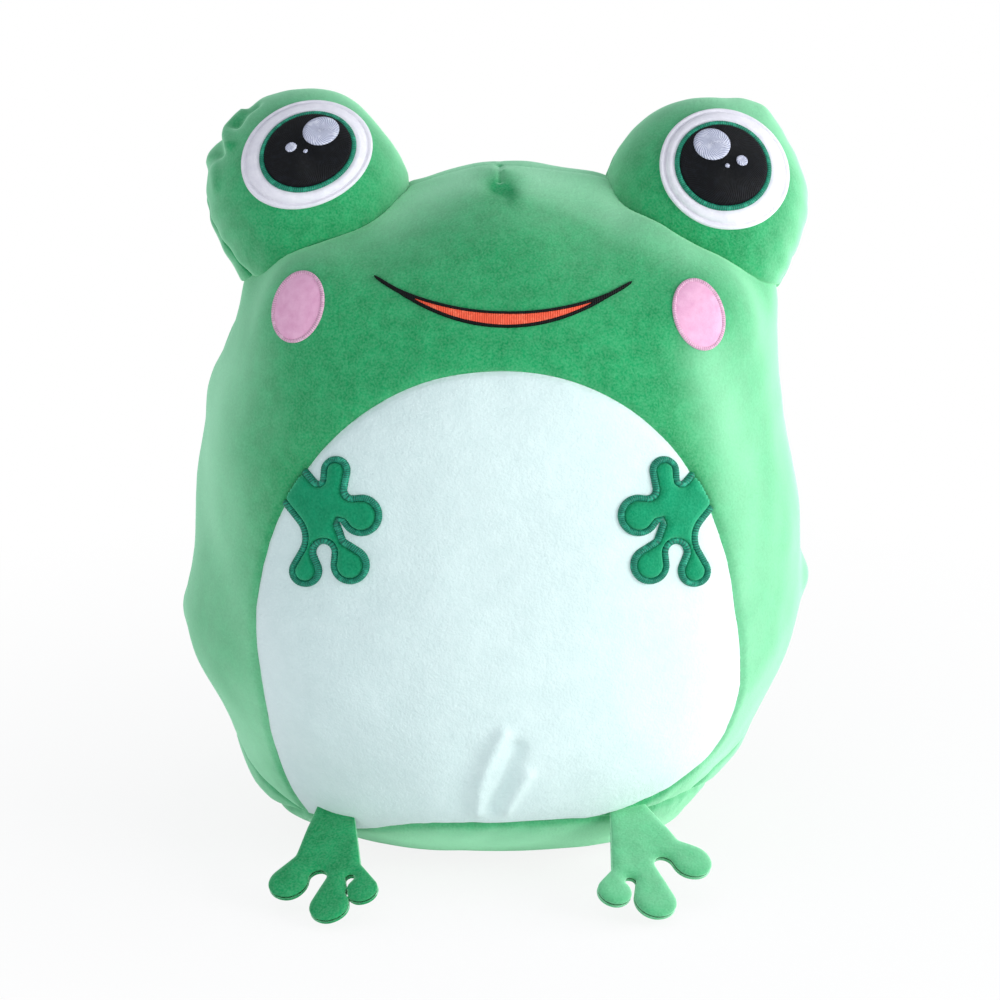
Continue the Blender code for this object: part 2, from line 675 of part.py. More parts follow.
def make_eye(side, sign, frame):
    """Make one eye: a felt disc, a stitched ring and pupil, and three stitched glints."""
    felt_top = SEAM_GAP + FELT_THICKNESS
    stitch_low = felt_top + SEAM_GAP
    stitch_top = stitch_low + STITCH_THICKNESS
    glint_low = stitch_top + SEAM_GAP
    glint_top = glint_low + STITCH_THICKNESS
    pupil_radius = EYE_RING_RADIUS - EYE_RING_WIDTH - SEAM_GAP
    hole_radius = EYE_RING_RADIUS - EYE_RING_WIDTH
    white_rim = disc(EYE_WHITE_RADIUS, 0, 0, DISC_STEPS)
    ring_rim = disc(EYE_RING_RADIUS, 0, EYE_RISE, DISC_STEPS)
    pupil_rim = disc(pupil_radius, 0, EYE_RISE, DISC_STEPS)
    hole = prism(
        "ring_hole", disc(hole_radius, 0, EYE_RISE, DISC_STEPS), frame, 0, MOUND_HALF_DEPTH + OVERRUN
    )
    white = mound_layer(f"eye_white_{side}", frame, white_rim, SEAM_GAP, felt_top, FELT_WHITE)
    ring = mound_layer(f"eye_ring_{side}", frame, ring_rim, stitch_low, stitch_top, THREAD_TEAL)
    cut_away(ring, hole)
    pupil = mound_layer(f"eye_pupil_{side}", frame, pupil_rim, stitch_low, stitch_top, THREAD_BLACK)
    pieces = [white, ring, pupil]
    glints = (
        ("large", GLINT_RADIUS, GLINT_PLACE_shares),
        ("small", GLINT_SMALL_RADIUS, GLINT_SMALL_PLACE_shares),
        ("tiny", GLINT_TINY_RADIUS, GLINT_TINY_PLACE_shares),
    )
    for size, radius, shares in glints:
        across = sign * pupil_radius * shares[0]
        up = EYE_RISE + pupil_radius * shares[1]
        rim = disc(radius, across, up, GLINT_STEPS)
        name = f"eye_glint_{size}_{side}"
        pieces.append(mound_layer(name, frame, rim, glint_low, glint_top, THREAD_WHITE))
    for piece in pieces:
        finish_shading(piece)


def make_eyes():
    """Make both mounds with their eyes."""
    places = (
        ("left", -1, MOUND_LEFT_PLACE_shares, MOUND_LEFT_TURN),
        ("right", 1, MOUND_RIGHT_PLACE_shares, MOUND_RIGHT_TURN),
    )
    for side, sign, shares, turn in places:
        frame = mound_frame(shares, turn)
        make_mound(side, frame)
        make_eye(side, sign, frame)


# Feet

def foot_frame(tree, across):
    """Return a foot's frame on the base seam: X along its hinge, Y to its toes.

    The hinge is the upper edge of the foot's root, just outside the seam.
    """
    plane = base_frame()
    start = plane @ Vector((across, -OVERRUN, 0))
    along = plane.to_3x3() @ Vector((0, 1, 0))
    seam, normal, face, distance = tree.ray_cast(start, along)
    outward = Vector((normal.x, normal.y, 0)).normalized()
    hinge = Vector((0, 0, 1)).cross(outward)
    toes = outward * math.cos(FOOT_SLOPE) - Vector((0, 0, math.sin(FOOT_SLOPE)))
    up = hinge.cross(toes)
    if up.z < 0:
        hinge = -hinge
        up = -up
    turn = Matrix((hinge, toes, up)).transposed()
    return Matrix.Translation(seam + normal * FOOT_ROOT_GAP) @ turn.to_4x4()


def foot_thickness():
    """Return the foot's whole thickness: two cloths, the wadding and their gaps."""
    return FOOT_CLOTH + SEAM_GAP + FOOT_WADDING + SEAM_GAP + FOOT_CLOTH


def foot_outline(outer, splay, inset):
    """Return a foot's outline, with its outer toe on the given side of the hinge."""
    root = FOOT_ROOT_HALF_WIDTH - FOOT_ROOT_CORNER
    corner = FOOT_ROOT_CORNER
    rounds = [(-root, corner, corner, 1), (root, corner, corner, 1)]
    for x, y, radius, kind in FOOT_ROUND_shares:
        turned_x = x * math.cos(splay) + y * math.sin(splay)
        turned_y = y * math.cos(splay) - x * math.sin(splay)
        place = (FOOT_LENGTH * turned_x, FOOT_LENGTH * turned_y)
        rounds.append((*place, FOOT_LENGTH * radius, kind))
    points = [(outer * x, y) for x, y in belt(rounds, inset)]
    return points if outer > 0 else points[::-1]


def foot_layer(name, outline, frame, low, high, finish):
    """Return one flat layer of a foot."""
    piece = prism(name, outline, frame, low, high)
    piece.data.materials.append(material(*finish))
    return piece


def soften_rim(piece, frame, height):
    """Bevel the rim of the face that lies at a height of the frame."""
    shape = bmesh.new()
    shape.from_mesh(piece.data)
    inverse = frame.inverted()
    near = SEAM_GAP / 2
    level = {vert for vert in shape.verts if abs((inverse @ vert.co).z - height) < near}
    rim = [edge for edge in shape.edges if level.issuperset(edge.verts)]
    bmesh.ops.bevel(shape, geom=rim, offset=FOOT_EDGE_ROUND, segments=1, affect="EDGES")
    shape.to_mesh(piece.data)
    shape.free()


def make_foot(side, frame, outer, splay):
    """Make one foot: an upper cloth with a rim, a sole cloth and the wadding between them."""
    low = -foot_thickness()
    sole_top = low + FOOT_CLOTH
    upper_low = sole_top + SEAM_GAP
    outline = foot_outline(outer, splay, 0)
    pocket = foot_outline(outer, splay, FOOT_RIM)
    fill = foot_outline(outer, splay, FOOT_RIM + SEAM_GAP)
    upper = foot_layer(f"foot_upper_{side}", outline, frame, upper_low, 0, VELOUR_GREEN)
    soften_rim(upper, frame, 0)
    cut_away(upper, prism("pocket", pocket, frame, upper_low - OVERRUN, -FOOT_CLOTH))
    sole = foot_layer(f"foot_sole_{side}", outline, frame, low, sole_top, VELOUR_GREEN)
    soften_rim(sole, frame, low)
    fill_low = sole_top + SEAM_GAP
    fill_top = -FOOT_CLOTH - SEAM_GAP
    wadding = foot_layer(f"foot_wadding_{side}", fill, frame, fill_low, fill_top, FIBRE_WHITE)
    for piece in (upper, sole, wadding):
        move_origin(piece, frame.translation)
        finish_shading(piece)


def move_origin(piece, place):
    """Put a piece's origin at a place and leave its shape where it is."""
    piece.data.transform(Matrix.Translation(-place))
    piece.location = place


def make_feet():
    """Make both feet on the base seam."""
    tree = body_tree()
    left = foot_frame(tree, BODY_HALF_WIDTH * FOOT_LEFT_PLACE_share)
    make_foot("left", left, outer_sign(left, -1), FOOT_LEFT_SPLAY)
    right = foot_frame(tree, BODY_HALF_WIDTH * FOOT_RIGHT_PLACE_share)
    make_foot("right", right, outer_sign(right, 1), FOOT_RIGHT_SPLAY)


def outer_sign(frame, sign):
    """Return which way along the hinge the outer toe lies."""
    return 1 if frame.col[0].x * sign > 0 else -1


def main():
    """Build the whole frog."""
    clear_scene()
    make_skin()
    make_cheeks()
    make_mouth()
    make_hands()
    make_eyes()
    make_feet()


main()
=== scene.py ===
"""Plush frog with its cloth, stitching and felt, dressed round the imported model.

Metres, +Z up. The frog faces -Y and sits on the floor at the origin. "Left" is -X, the left
of a viewer in front of it. The face leans back, so its trims are laid out flat on a leaning
plane and pressed straight back onto the finished cloth.
"""

from __future__ import annotations

import json
import logging
import math
from collections.abc import Callable, Sequence
from dataclasses import dataclass, field
from enum import Enum
from functools import cache

import bmesh
import bpy
import numpy as np
from bmesh.types import BMesh, BMVert
from bpy.types import Material, Node, NodeSocket, NodeTree, Object
from mathutils import Matrix, Vector, noise
from mathutils.bvhtree import BVHTree
from mathutils.interpolate import poly_3d_calc
from mathutils.kdtree import KDTree


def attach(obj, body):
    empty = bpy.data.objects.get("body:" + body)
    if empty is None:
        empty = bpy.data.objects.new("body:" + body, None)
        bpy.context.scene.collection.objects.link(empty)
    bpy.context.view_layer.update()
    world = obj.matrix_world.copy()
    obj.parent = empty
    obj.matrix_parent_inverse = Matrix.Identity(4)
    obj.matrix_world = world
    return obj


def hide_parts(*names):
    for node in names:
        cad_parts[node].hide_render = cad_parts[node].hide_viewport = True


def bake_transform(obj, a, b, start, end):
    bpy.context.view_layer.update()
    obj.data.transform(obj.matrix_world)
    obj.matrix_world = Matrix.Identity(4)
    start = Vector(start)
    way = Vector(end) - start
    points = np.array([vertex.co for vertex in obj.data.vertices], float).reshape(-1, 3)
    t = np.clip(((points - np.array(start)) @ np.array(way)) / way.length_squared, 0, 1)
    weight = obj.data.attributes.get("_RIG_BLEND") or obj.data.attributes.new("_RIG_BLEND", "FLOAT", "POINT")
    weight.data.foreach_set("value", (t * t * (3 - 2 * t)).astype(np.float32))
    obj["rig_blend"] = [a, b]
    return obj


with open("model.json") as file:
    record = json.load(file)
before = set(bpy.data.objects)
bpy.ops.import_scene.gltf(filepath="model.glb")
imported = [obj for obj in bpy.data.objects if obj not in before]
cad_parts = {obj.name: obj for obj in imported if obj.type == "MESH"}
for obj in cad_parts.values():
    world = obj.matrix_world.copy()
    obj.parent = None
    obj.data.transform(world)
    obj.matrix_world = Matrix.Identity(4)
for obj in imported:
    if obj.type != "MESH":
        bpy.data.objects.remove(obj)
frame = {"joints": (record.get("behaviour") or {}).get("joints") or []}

LOG = logging.getLogger("plush_frog")

MM = 0.001
FACE_LEAN = math.radians(20)
FACE = Matrix.Rotation(math.radians(90) - FACE_LEAN, 4, "X")
CLOTH_THICKNESS = 0.0018
SEAM_GAP = 0.0003
# How far a trim's underside sinks into the pile that it is sewn to
TRIM_SINK = 0.0004
# How far in front of its carrier a trim starts before it is pressed on
PRESS_START = 0.3
# Share of an edge within which its end moves onto a cut
SNAP_SHARE = 0.3
# Points that are compared with an outline at one time, to bound the memory used
CHUNK = 2000

Pair = tuple[float, float]
# A circle that an outline runs round: across, up, radius and kind
Round = tuple[float, float, float, int]
# What gives an outline moved in by a distance
Rim = Callable[[float], np.ndarray]


class Side(Enum):
    """The two sides of the frog, with the sign of X on each."""

    LEFT = -1
    RIGHT = 1

    @property
    def label(self) -> str:
        """Return the side's name as it stands in a piece's name."""
        return self.name.lower()


# Flat outlines


def oval(half_width: float, half_height: float, steps: int, lean: float = 0.0) -> np.ndarray:
    """Return the points of a leaning oval round the origin, anticlockwise.

    Args:
        half_width: half of its width before it leans.
        half_height: half of its height before it leans.
        steps: number of points.
        lean: angle that it is turned by, anticlockwise.

    Returns:
        The points, one a row.
    """
    angles = np.arange(steps) * math.tau / steps
    x = half_width * np.cos(angles)
    y = half_height * np.sin(angles)
    turned_x = x * math.cos(lean) - y * math.sin(lean)
    turned_y = x * math.sin(lean) + y * math.cos(lean)
    return np.column_stack([turned_x, turned_y])


def belt(rounds: Sequence[Round], inset: float, step: float) -> np.ndarray:
    """Return the outline that runs round every circle, anticlockwise and moved in by inset.

    The outline passes outside a pad, of kind 1, and inside a gap, of kind -1. Every inset of
    the same rounds gives the same number of points.

    Args:
        rounds: (x, y, radius, kind) of each circle.
        inset: how far the outline is moved in.
        step: greatest distance between points on the outline that isn't moved.

    Returns:
        The points, one a row.
    """
    count = len(rounds)
    reach = [kind * radius for x, y, radius, kind in rounds]
    angles = []
    for index in range(count):
        here = rounds[index]
        there = rounds[(index + 1) % count]
        run = Vector((there[0] - here[0], there[1] - here[1]))
        lean = (reach[index] - reach[(index + 1) % count]) / run.length
        angles.append(math.atan2(run.y, run.x) - math.acos(max(-1.0, min(1.0, lean))))
    points = []
    full = []
    for index, (x, y, radius, kind) in enumerate(rounds):
        start = angles[index - 1]
        sweep = (angles[index] - start) % math.tau
        if kind < 0:
            sweep -= math.tau
        steps = max(2, math.ceil(abs(sweep) * radius / step))
        for angle in start + sweep * np.arange(steps + 1) / steps:
            aim = np.array([math.cos(angle), math.sin(angle)])
            points.append(np.array([x, y]) + aim * (reach[index] - inset))
            full.append(np.array([x, y]) + aim * reach[index])
    filled = []
    for index, point in enumerate(points):
        after = (index + 1) % len(points)
        gap = np.linalg.norm(full[after] - full[index])
        pieces = max(1, math.ceil(gap / step))
        filled.extend(point + (points[after] - point) * part / pieces for part in range(pieces))
    return np.array(filled)


def depth_inside(points: np.ndarray, outline: np.ndarray) -> np.ndarray:
    """Return each point's distance from a closed outline, positive inside it.

    Args:
        points: flat points, one a row.
        outline: the outline's points in order.

    Returns:
        The distances, in metres.
    """
    start = outline
    end = np.roll(outline, -1, axis=0)
    run = end - start
    squares = np.maximum((run**2).sum(axis=1), 1e-18)
    rise = np.where(np.abs(run[:, 1]) < 1e-12, 1e-12, run[:, 1])
    found = np.empty(len(points))
    for low in range(0, len(points), CHUNK):
        part = points[low : low + CHUNK]
        offset = part[:, None, :] - start[None]
        share = np.clip((offset * run).sum(axis=2) / squares, 0, 1)
        gap = offset - share[..., None] * run
        distance = np.sqrt((gap**2).sum(axis=2).min(axis=1))
        level = part[:, None, 1]
        crosses = (start[:, 1] > level) != (end[:, 1] > level)
        at = start[:, 0] + (level - start[:, 1]) * run[:, 0] / rise
        inside = (crosses & (part[:, None, 0] < at)).sum(axis=1) % 2 == 1
        found[low : low + CHUNK] = np.where(inside, distance, -distance)
    return found


def rounded(depth: np.ndarray, width: float) -> np.ndarray:
    """Return the height of a quarter round edge, from 0 at the rim to 1 at its width."""
    share = np.clip(depth / width, 0, 1)
    return np.sqrt(1 - (1 - share) ** 2)


def hollow(distance: np.ndarray, width: float) -> np.ndarray:
    """Return a soft dip's share, 1 at no distance and near 0 past its width."""
    return np.exp(-((distance / width) ** 2))


def smooth_step(value: np.ndarray, low: float, high: float) -> np.ndarray:
    """Return a smooth rise from 0 at low to 1 at high."""
    share = np.clip((value - low) / (high - low), 0, 1)
    return share * share * (3 - 2 * share)


def soft_noise(points: np.ndarray, size: float, seed: float) -> np.ndarray:
    """Return smooth noise from -1 to 1 at each point, with waves of about a size.

    Args:
        points: places, one a row.
        size: distance between one wave and the next.
        seed: shift that gives each use its own pattern.
    """
    return np.array([noise.noise(place) for place in (points / size + seed).tolist()])


@dataclass(frozen=True)
class Swell:
    """Uneven relief: how high its waves are, how far apart, and the seed of their pattern."""

    height: float
    size: float
    seed: float

    def relief(self, points: np.ndarray) -> np.ndarray:
        """Return how much the waves raise each point."""
        return self.height * soft_noise(points, self.size, self.seed)


# Mesh helpers


def coords(shape: BMesh) -> np.ndarray:
    """Return the places of a shape's vertices, one a row."""
    return np.array([vert.co[:] for vert in shape.verts])


def place_coords(shape: BMesh, places: np.ndarray) -> None:
    """Move a shape's vertices to new places, one a row."""
    for vert, place in zip(shape.verts, places.tolist()):
        vert.co = place


def normals(shape: BMesh) -> np.ndarray:
    """Return the directions that a shape's vertices face, one a row."""
    shape.normal_update()
    return np.array([vert.normal[:] for vert in shape.verts])


def cut_along(
    shape: BMesh,
    values: np.ndarray,
    snap: float = 0.02,
    allowed: np.ndarray | None = None,
) -> None:
    """Cut edges into a shape where a value that its vertices carry passes through 0.

    A vertex that lies close to the cut is moved onto it, so no sliver is made.

    Args:
        shape: the shape that gets the new edges.
        values: one value for each vertex.
        snap: share of an edge within which the cut takes the edge's end.
        allowed: whether each vertex may touch the cut. All may if it is left out.
    """
    # Bisecting renews the vertices and blends this layer, so it is 0 on the cut
    value = shape.verts.layers.float.new("cut_value")
    for vert, number in zip(shape.verts, values.tolist()):
        vert[value] = number
    crossings = []
    nearest: dict[BMVert, tuple[float, Vector]] = {}
    shape.verts.index_update()
    for edge in shape.edges:
        first, second = edge.verts
        if (first[value] > 0) == (second[value] > 0):
            continue
        if allowed is not None and not (allowed[first.index] and allowed[second.index]):
            continue
        share = first[value] / (first[value] - second[value])
        crossings.append((edge, share))
        place = first.co.lerp(second.co, share)
        for vert, part in ((first, share), (second, 1 - share)):
            if part < snap and part < nearest.get(vert, (1.0, place))[0]:
                nearest[vert] = (part, place)
    for vert, (part, place) in nearest.items():
        vert.co = place
        vert[value] = 0
    percents = {
        edge: share
        for edge, share in crossings
        if edge.verts[0] not in nearest and edge.verts[1] not in nearest
    }
    if percents:
        bmesh.ops.bisect_edges(shape, edges=list(percents), cuts=1, edge_percents=percents)
    on_cut = [vert for vert in shape.verts if abs(vert[value]) < 1e-7]
    if on_cut:
        bmesh.ops.connect_verts(shape, verts=on_cut)
    shape.verts.layers.float.remove(value)


def triangulate_across(shape: BMesh, values: np.ndarray) -> None:
    """Divide the faces that a cut will cross into triangles, which a cut always splits.

    Args:
        shape: the shape that will be cut.
        values: one value for each vertex, which passes through 0 at the cut.
    """
    above = values > 0
    shape.verts.index_update()
    crossed = [
        face
        for face in shape.faces
        if len({bool(above[vert.index]) for vert in face.verts}) == 2
    ]
    bmesh.ops.triangulate(shape, faces=crossed)


def face_centres(shape: BMesh) -> np.ndarray:
    """Return the middle of each face, one a row."""
    return np.array([face.calc_center_median()[:] for face in shape.faces])


def keep_faces(shape: BMesh, wanted: np.ndarray) -> None:
    """Delete the faces that aren't wanted, with what only they used."""
    spare = [face for face, keep in zip(shape.faces, wanted) if not keep]
    bmesh.ops.delete(shape, geom=spare, context="FACES")


def map_flat(shape: BMesh) -> None:
    """Give a flat shape a UV map in millimetres.

    Args:
        shape: the shape, which lies in the XY plane.
    """
    uv = shape.loops.layers.uv.new("millimetres")
    for face in shape.faces:
        for loop in face.loops:
            loop[uv].uv = loop.vert.co.xy / MM


def search_tree(points: Sequence[Vector]) -> KDTree:
    """Return a tree that finds the nearest of some points.

    Args:
        points: the points, at least one.

    Returns:
        The tree.
    """
    tree = KDTree(len(points))
    for index, point in enumerate(points):
        tree.insert(point, index)
    tree.balance()
    return tree


def flat_patch(outline: np.ndarray, spacing: float, levels: Sequence[float]) -> BMesh:
    """Return a flat shape inside an outline, with edges along some of its insets.

    Args:
        outline: the points round it.
        spacing: size of its faces.
        levels: depths inside the outline that get edges. The first is where the shape ends.

    Returns:
        The shape, with a UV map in millimetres.
    """
    low = outline.min(axis=0) - spacing
    high = outline.max(axis=0) + spacing
    count = np.ceil((high - low) / spacing).astype(int).tolist()
    shape = bmesh.new()
    bmesh.ops.create_grid(shape, x_segments=count[0], y_segments=count[1], size=0.5)
    bmesh.ops.scale(shape, vec=(*(high - low).tolist(), 1), verts=shape.verts)
    bmesh.ops.translate(shape, vec=(*((low + high) / 2).tolist(), 0), verts=shape.verts)
    for level in levels:
        cut_along(shape, depth_inside(coords(shape)[:, :2], outline) - level)
    depths = depth_inside(face_centres(shape)[:, :2], outline)
    keep_faces(shape, depths > levels[0])
    map_flat(shape)
    return shape


def brush(shape: BMesh, shares: np.ndarray) -> None:
    """Write down the share of painted light at each vertex for the velour to read: painted sheen where it is
    positive, painted shade where it is negative.
    """
    layer = shape.verts.layers.float.new("brushed")
    for vert, share in zip(shape.verts, shares.tolist()):
        vert[layer] = share


def ribbon(rim_at: Rim, width: float, across: int) -> BMesh:
    """Return a flat band between an outline and its inset, with a UV map along it.

    Args:
        rim_at: gives the outline moved in by a distance, always with as many points.
        width: how wide the band is.
        across: number of faces across it.

    Returns:
        The band.
    """
    outlines = [rim_at(width * row / across) for row in range(across + 1)]
    count = len(outlines[0])
    runs = np.linalg.norm(np.roll(outlines[0], -1, axis=0) - outlines[0], axis=1)
    along = np.concatenate([[0], np.cumsum(runs)]) / MM
    shape = bmesh.new()
    bmesh.ops.create_grid(shape, x_segments=count, y_segments=across, size=0.5)
    uv = shape.loops.layers.uv.new("millimetres")
    for face in shape.faces:
        for loop in face.loops:
            column = round((loop.vert.co.x + 0.5) * count)
            loop[uv].uv = (along[column], (loop.vert.co.y + 0.5) * width / MM)
    stitch = shape.verts.layers.float.new("stitch")
    for vert in shape.verts:
        column = round((vert.co.x + 0.5) * count)
        row = round((vert.co.y + 0.5) * across)
        vert[stitch] = column % 2
        vert.co = (*outlines[row][column % count], 0)
    bmesh.ops.remove_doubles(shape, verts=shape.verts, dist=1e-7)
    return shape


def satin(shape: BMesh, depth: np.ndarray, width: float, dent: float) -> np.ndarray:
    """Return a stitched border's height, from 0 at its edges to 1 along its middle.

    Args:
        shape: the border, which marks every second stitch.
        depth: how far each vertex lies inside its outer edge.
        width: how wide it is.
        dent: share by which every second stitch is lower.

    Returns:
        The heights, one for each vertex.
    """
    half = width / 2
    crown = rounded(half - np.abs(depth - half), half)
    stitch = shape.verts.layers.float["stitch"]
    relief = np.array([vert[stitch] for vert in shape.verts])
    return crown * (1 - dent * relief)


def raise_patch(shape: BMesh, heights: np.ndarray, sink: float) -> None:
    """Give a flat shape a top at its heights and an underside sunk below 0.

    Args:
        shape: the flat shape, which becomes closed.
        heights: how high each of its vertices is raised.
        sink: how far its underside lies below 0.
    """
    lift = shape.verts.layers.float.new("lift")
    for vert, height in zip(shape.verts, heights.tolist()):
        vert[lift] = height
    grown = bmesh.ops.extrude_face_region(shape, geom=list(shape.faces))
    top = {item for item in grown["geom"] if isinstance(item, BMVert)}
    for vert in shape.verts:
        vert.co.z = vert[lift] if vert in top else -sink
    bmesh.ops.recalc_face_normals(shape, faces=shape.faces)


class Carrier:
    """A finished surface that trims are pressed on."""

    def __init__(self, shape: BMesh) -> None:
        """Keep a copy of the shape with a search tree.

        Args:
            shape: the surface, with its final relief.
        """
        self.shape = shape.copy()
        self.shape.faces.ensure_lookup_table()
        self.shape.normal_update()
        self.tree = BVHTree.FromBMesh(self.shape)

    def smooth_normal(self, index: int, place: Vector) -> Vector:
        """Return the surface's blended direction at a place on one face.

        Args:
            index: the face.
            place: a place on it.

        Returns:
            The unit direction.
        """
        verts = self.shape.faces[index].verts
        weights = poly_3d_calc([vert.co for vert in verts], place)
        blended = Vector((0, 0, 0))
        for vert, weight in zip(verts, weights):
            blended += vert.normal * weight
        return blended.normalized()

    def press(self, shape: BMesh, plane: Matrix) -> None:
        """Lay a shape on the surface, straight back along a plane's Z.

        Args:
            shape: laid out on the plane, with each vertex's height above the cloth as its Z.
            plane: where the plane stands.
        """
        back = -(plane.to_3x3() @ Vector((0, 0, 1)))
        for vert in shape.verts:
            start = plane @ Vector((vert.co.x, vert.co.y, PRESS_START))
            place, facing, index, gap = self.tree.ray_cast(start, back)
            if place is None:
                place, facing, index, gap = self.tree.find_nearest(start + back * PRESS_START)
            vert.co = place + self.smooth_normal(index, place) * vert.co.z

    def depth(self, points: np.ndarray) -> np.ndarray:
        """Return how far each point lies outside the surface, negative inside it.

        Args:
            points: the points, one a row.

        Returns:
            The depths, in metres.
        """
        found = []
        for point in points.tolist():
            place, facing, index, gap = self.tree.find_nearest(point)
            outside = (Vector(point) - place).dot(self.smooth_normal(index, place)) > 0
            found.append(gap if outside else -gap)
        return np.array(found)


# Materials


def linear(colour: str) -> tuple[float, float, float, float]:
    """Return an sRGB hex colour as linear red, green, blue and alpha.

    Args:
        colour: the colour, with its hash.

    Returns:
        Red, green, blue and 1.
    """
    channels = [int(colour[start : start + 2], 16) / 255 for start in (1, 3, 5)]
    low = [channel / 12.92 for channel in channels]
    high = [((channel + 0.055) / 1.055) ** 2.4 for channel in channels]
    picked = [a if c <= 0.04045 else b for c, a, b in zip(channels, low, high)]
    return (*picked, 1.0)


def add_node(
    tree: NodeTree,
    kind: str,
    output: str | int,
    values: dict | None = None,
    links: dict | None = None,
    **settings: object,
) -> NodeSocket:
    """Add one node to a material.

    Args:
        tree: the material's nodes.
        kind: the node's type, after "ShaderNode".
        output: name or number of the output that is wanted.
        values: constant for each named or numbered input.
        links: output that feeds each named or numbered input.
        settings: the node's own settings.

    Returns:
        The wanted output.
    """
    node = tree.nodes.new("ShaderNode" + kind)
    for name, value in settings.items():
        setattr(node, name, value)
    for socket, value in (values or {}).items():
        node.inputs[socket].default_value = value
    for socket, source in (links or {}).items():
        tree.links.new(source, node.inputs[socket])
    return node.outputs[output]


# Numbers of the Mix node's colour sockets
MIX_A = 6
MIX_B = 7
MIX_RESULT = 2


def new_material(name: str, constants: dict) -> tuple[Material, NodeTree, Node]:
    """Return a material with its nodes and its shader, some of whose inputs are set.

    Args:
        name: the material's name.
        constants: the shader's inputs and their values.

    Returns:
        The material, its nodes and its shader.
    """
    made = bpy.data.materials.new(name)
    made.use_nodes = True
    tree = made.node_tree
    shader = tree.nodes["Principled BSDF"]
    for socket, value in constants.items():
        shader.inputs[socket].default_value = value
    return made, tree, shader


@dataclass(frozen=True)
class Velour:
    """Short-pile polyester velour, knitted, sheared and napped.

    The sheared pile leans in patches, so the colour is mottled. Towards a grazing angle the colour is
    painted paler, as painted sheen.
    """

    name: str
    base: str
    dark: str
    # The pale colour goes into random tufts, and into the painted sheen and painted light
    pale: str
    sheen: str
    patch_size: float = 0.0065
    streak_size: float = 0.0022
    # Real tufts are 0.15 mm apart. They are drawn at 0.8 mm, the finest that shows
    tuft_size: float = 0.0008
    tuft_height: float = 0.0005
    tuft_paleness: float = 0.10
    # Painted sheen: how much pale colour is painted in towards a grazing angle, and how fast it grows
    edge_share: float = 1.0
    edge_power: float = 1.7
    sheen_weight: float = 0.16

    @cache
    def material(self) -> Material:
        """Return the velour as a material.

        Returns:
            The material.
        """
        constants = {
            "Roughness": 0.92,
            "Specular IOR Level": 0.1,
            "Sheen Weight": self.sheen_weight,
            "Sheen Roughness": 0.4,
            "Sheen Tint": linear(self.sheen),
        }
        made, tree, shader = new_material(self.name, constants)
        place = {"Vector": add_node(tree, "TexCoord", "Object")}
        patch = {"Scale": 1 / self.patch_size, "Detail": 3.0, "Roughness": 0.6}
        patches = add_node(tree, "TexNoise", "Fac", patch, place)
        streak = {"Scale": 1 / self.streak_size, "Detail": 2.0, "Roughness": 0.5}
        streaks = add_node(tree, "TexNoise", "Fac", streak, place)
        tuft = {"Scale": 1 / self.tuft_size, "Detail": 1.0, "Roughness": 0.5}
        tufts = add_node(tree, "TexNoise", "Fac", tuft, place)
        limits = {"From Min": 0.36, "From Max": 0.66}
        lean = add_node(tree, "MapRange", "Result", limits, {"Value": patches})
        ends = {MIX_A: linear(self.dark), MIX_B: linear(self.base)}
        mottled = add_node(tree, "Mix", MIX_RESULT, ends, {"Factor": lean}, data_type="RGBA")
        limits = {"From Min": 0.3, "From Max": 0.7}
        shade = add_node(tree, "MapRange", "Result", limits, {"Value": tufts})
        speckle = add_node(
            tree, "Math", "Value", {1: self.tuft_paleness}, {0: shade}, operation="MULTIPLY"
        )
        pale = {MIX_B: linear(self.pale)}
        mixed = {"Factor": speckle, MIX_A: mottled}
        tufted = add_node(tree, "Mix", MIX_RESULT, pale, mixed, data_type="RGBA")
        # Painted sheen: pale colour is mixed in towards a grazing angle, standing in for the light that the
        # pile catches there
        grazing = add_node(tree, "LayerWeight", "Facing", {"Blend": 0.5})
        painted_sheen_curve = add_node(
            tree, "Math", "Value", {1: self.edge_power}, {0: grazing}, operation="POWER"
        )
        # Painted light: the cloth carries a share that adds painted highlight to the painted sheen, and
        # takes it away as painted shade where it is negative
        brushed = add_node(tree, "Attribute", "Fac", attribute_name="brushed")
        edge = add_node(
            tree,
            "Math",
            "Value",
            {1: self.edge_share},
            {0: painted_sheen_curve, 2: brushed},
            operation="MULTIPLY_ADD",
            use_clamp=True,
        )
        # Painted sheen and painted light are mixed into the colour here
        mixed = {"Factor": edge, MIX_A: tufted}
        coloured = add_node(tree, "Mix", MIX_RESULT, pale, mixed, data_type="RGBA")
        relief = add_node(
            tree, "Math", "Value", {1: 0.6}, {0: tufts, 2: streaks}, operation="MULTIPLY_ADD"
        )
        strength = {"Strength": 0.55, "Distance": self.tuft_height}
        bump = add_node(tree, "Bump", "Normal", strength, {"Height": relief})
        tree.links.new(coloured, shader.inputs["Base Color"])
        tree.links.new(bump, shader.inputs["Normal"])
        return made


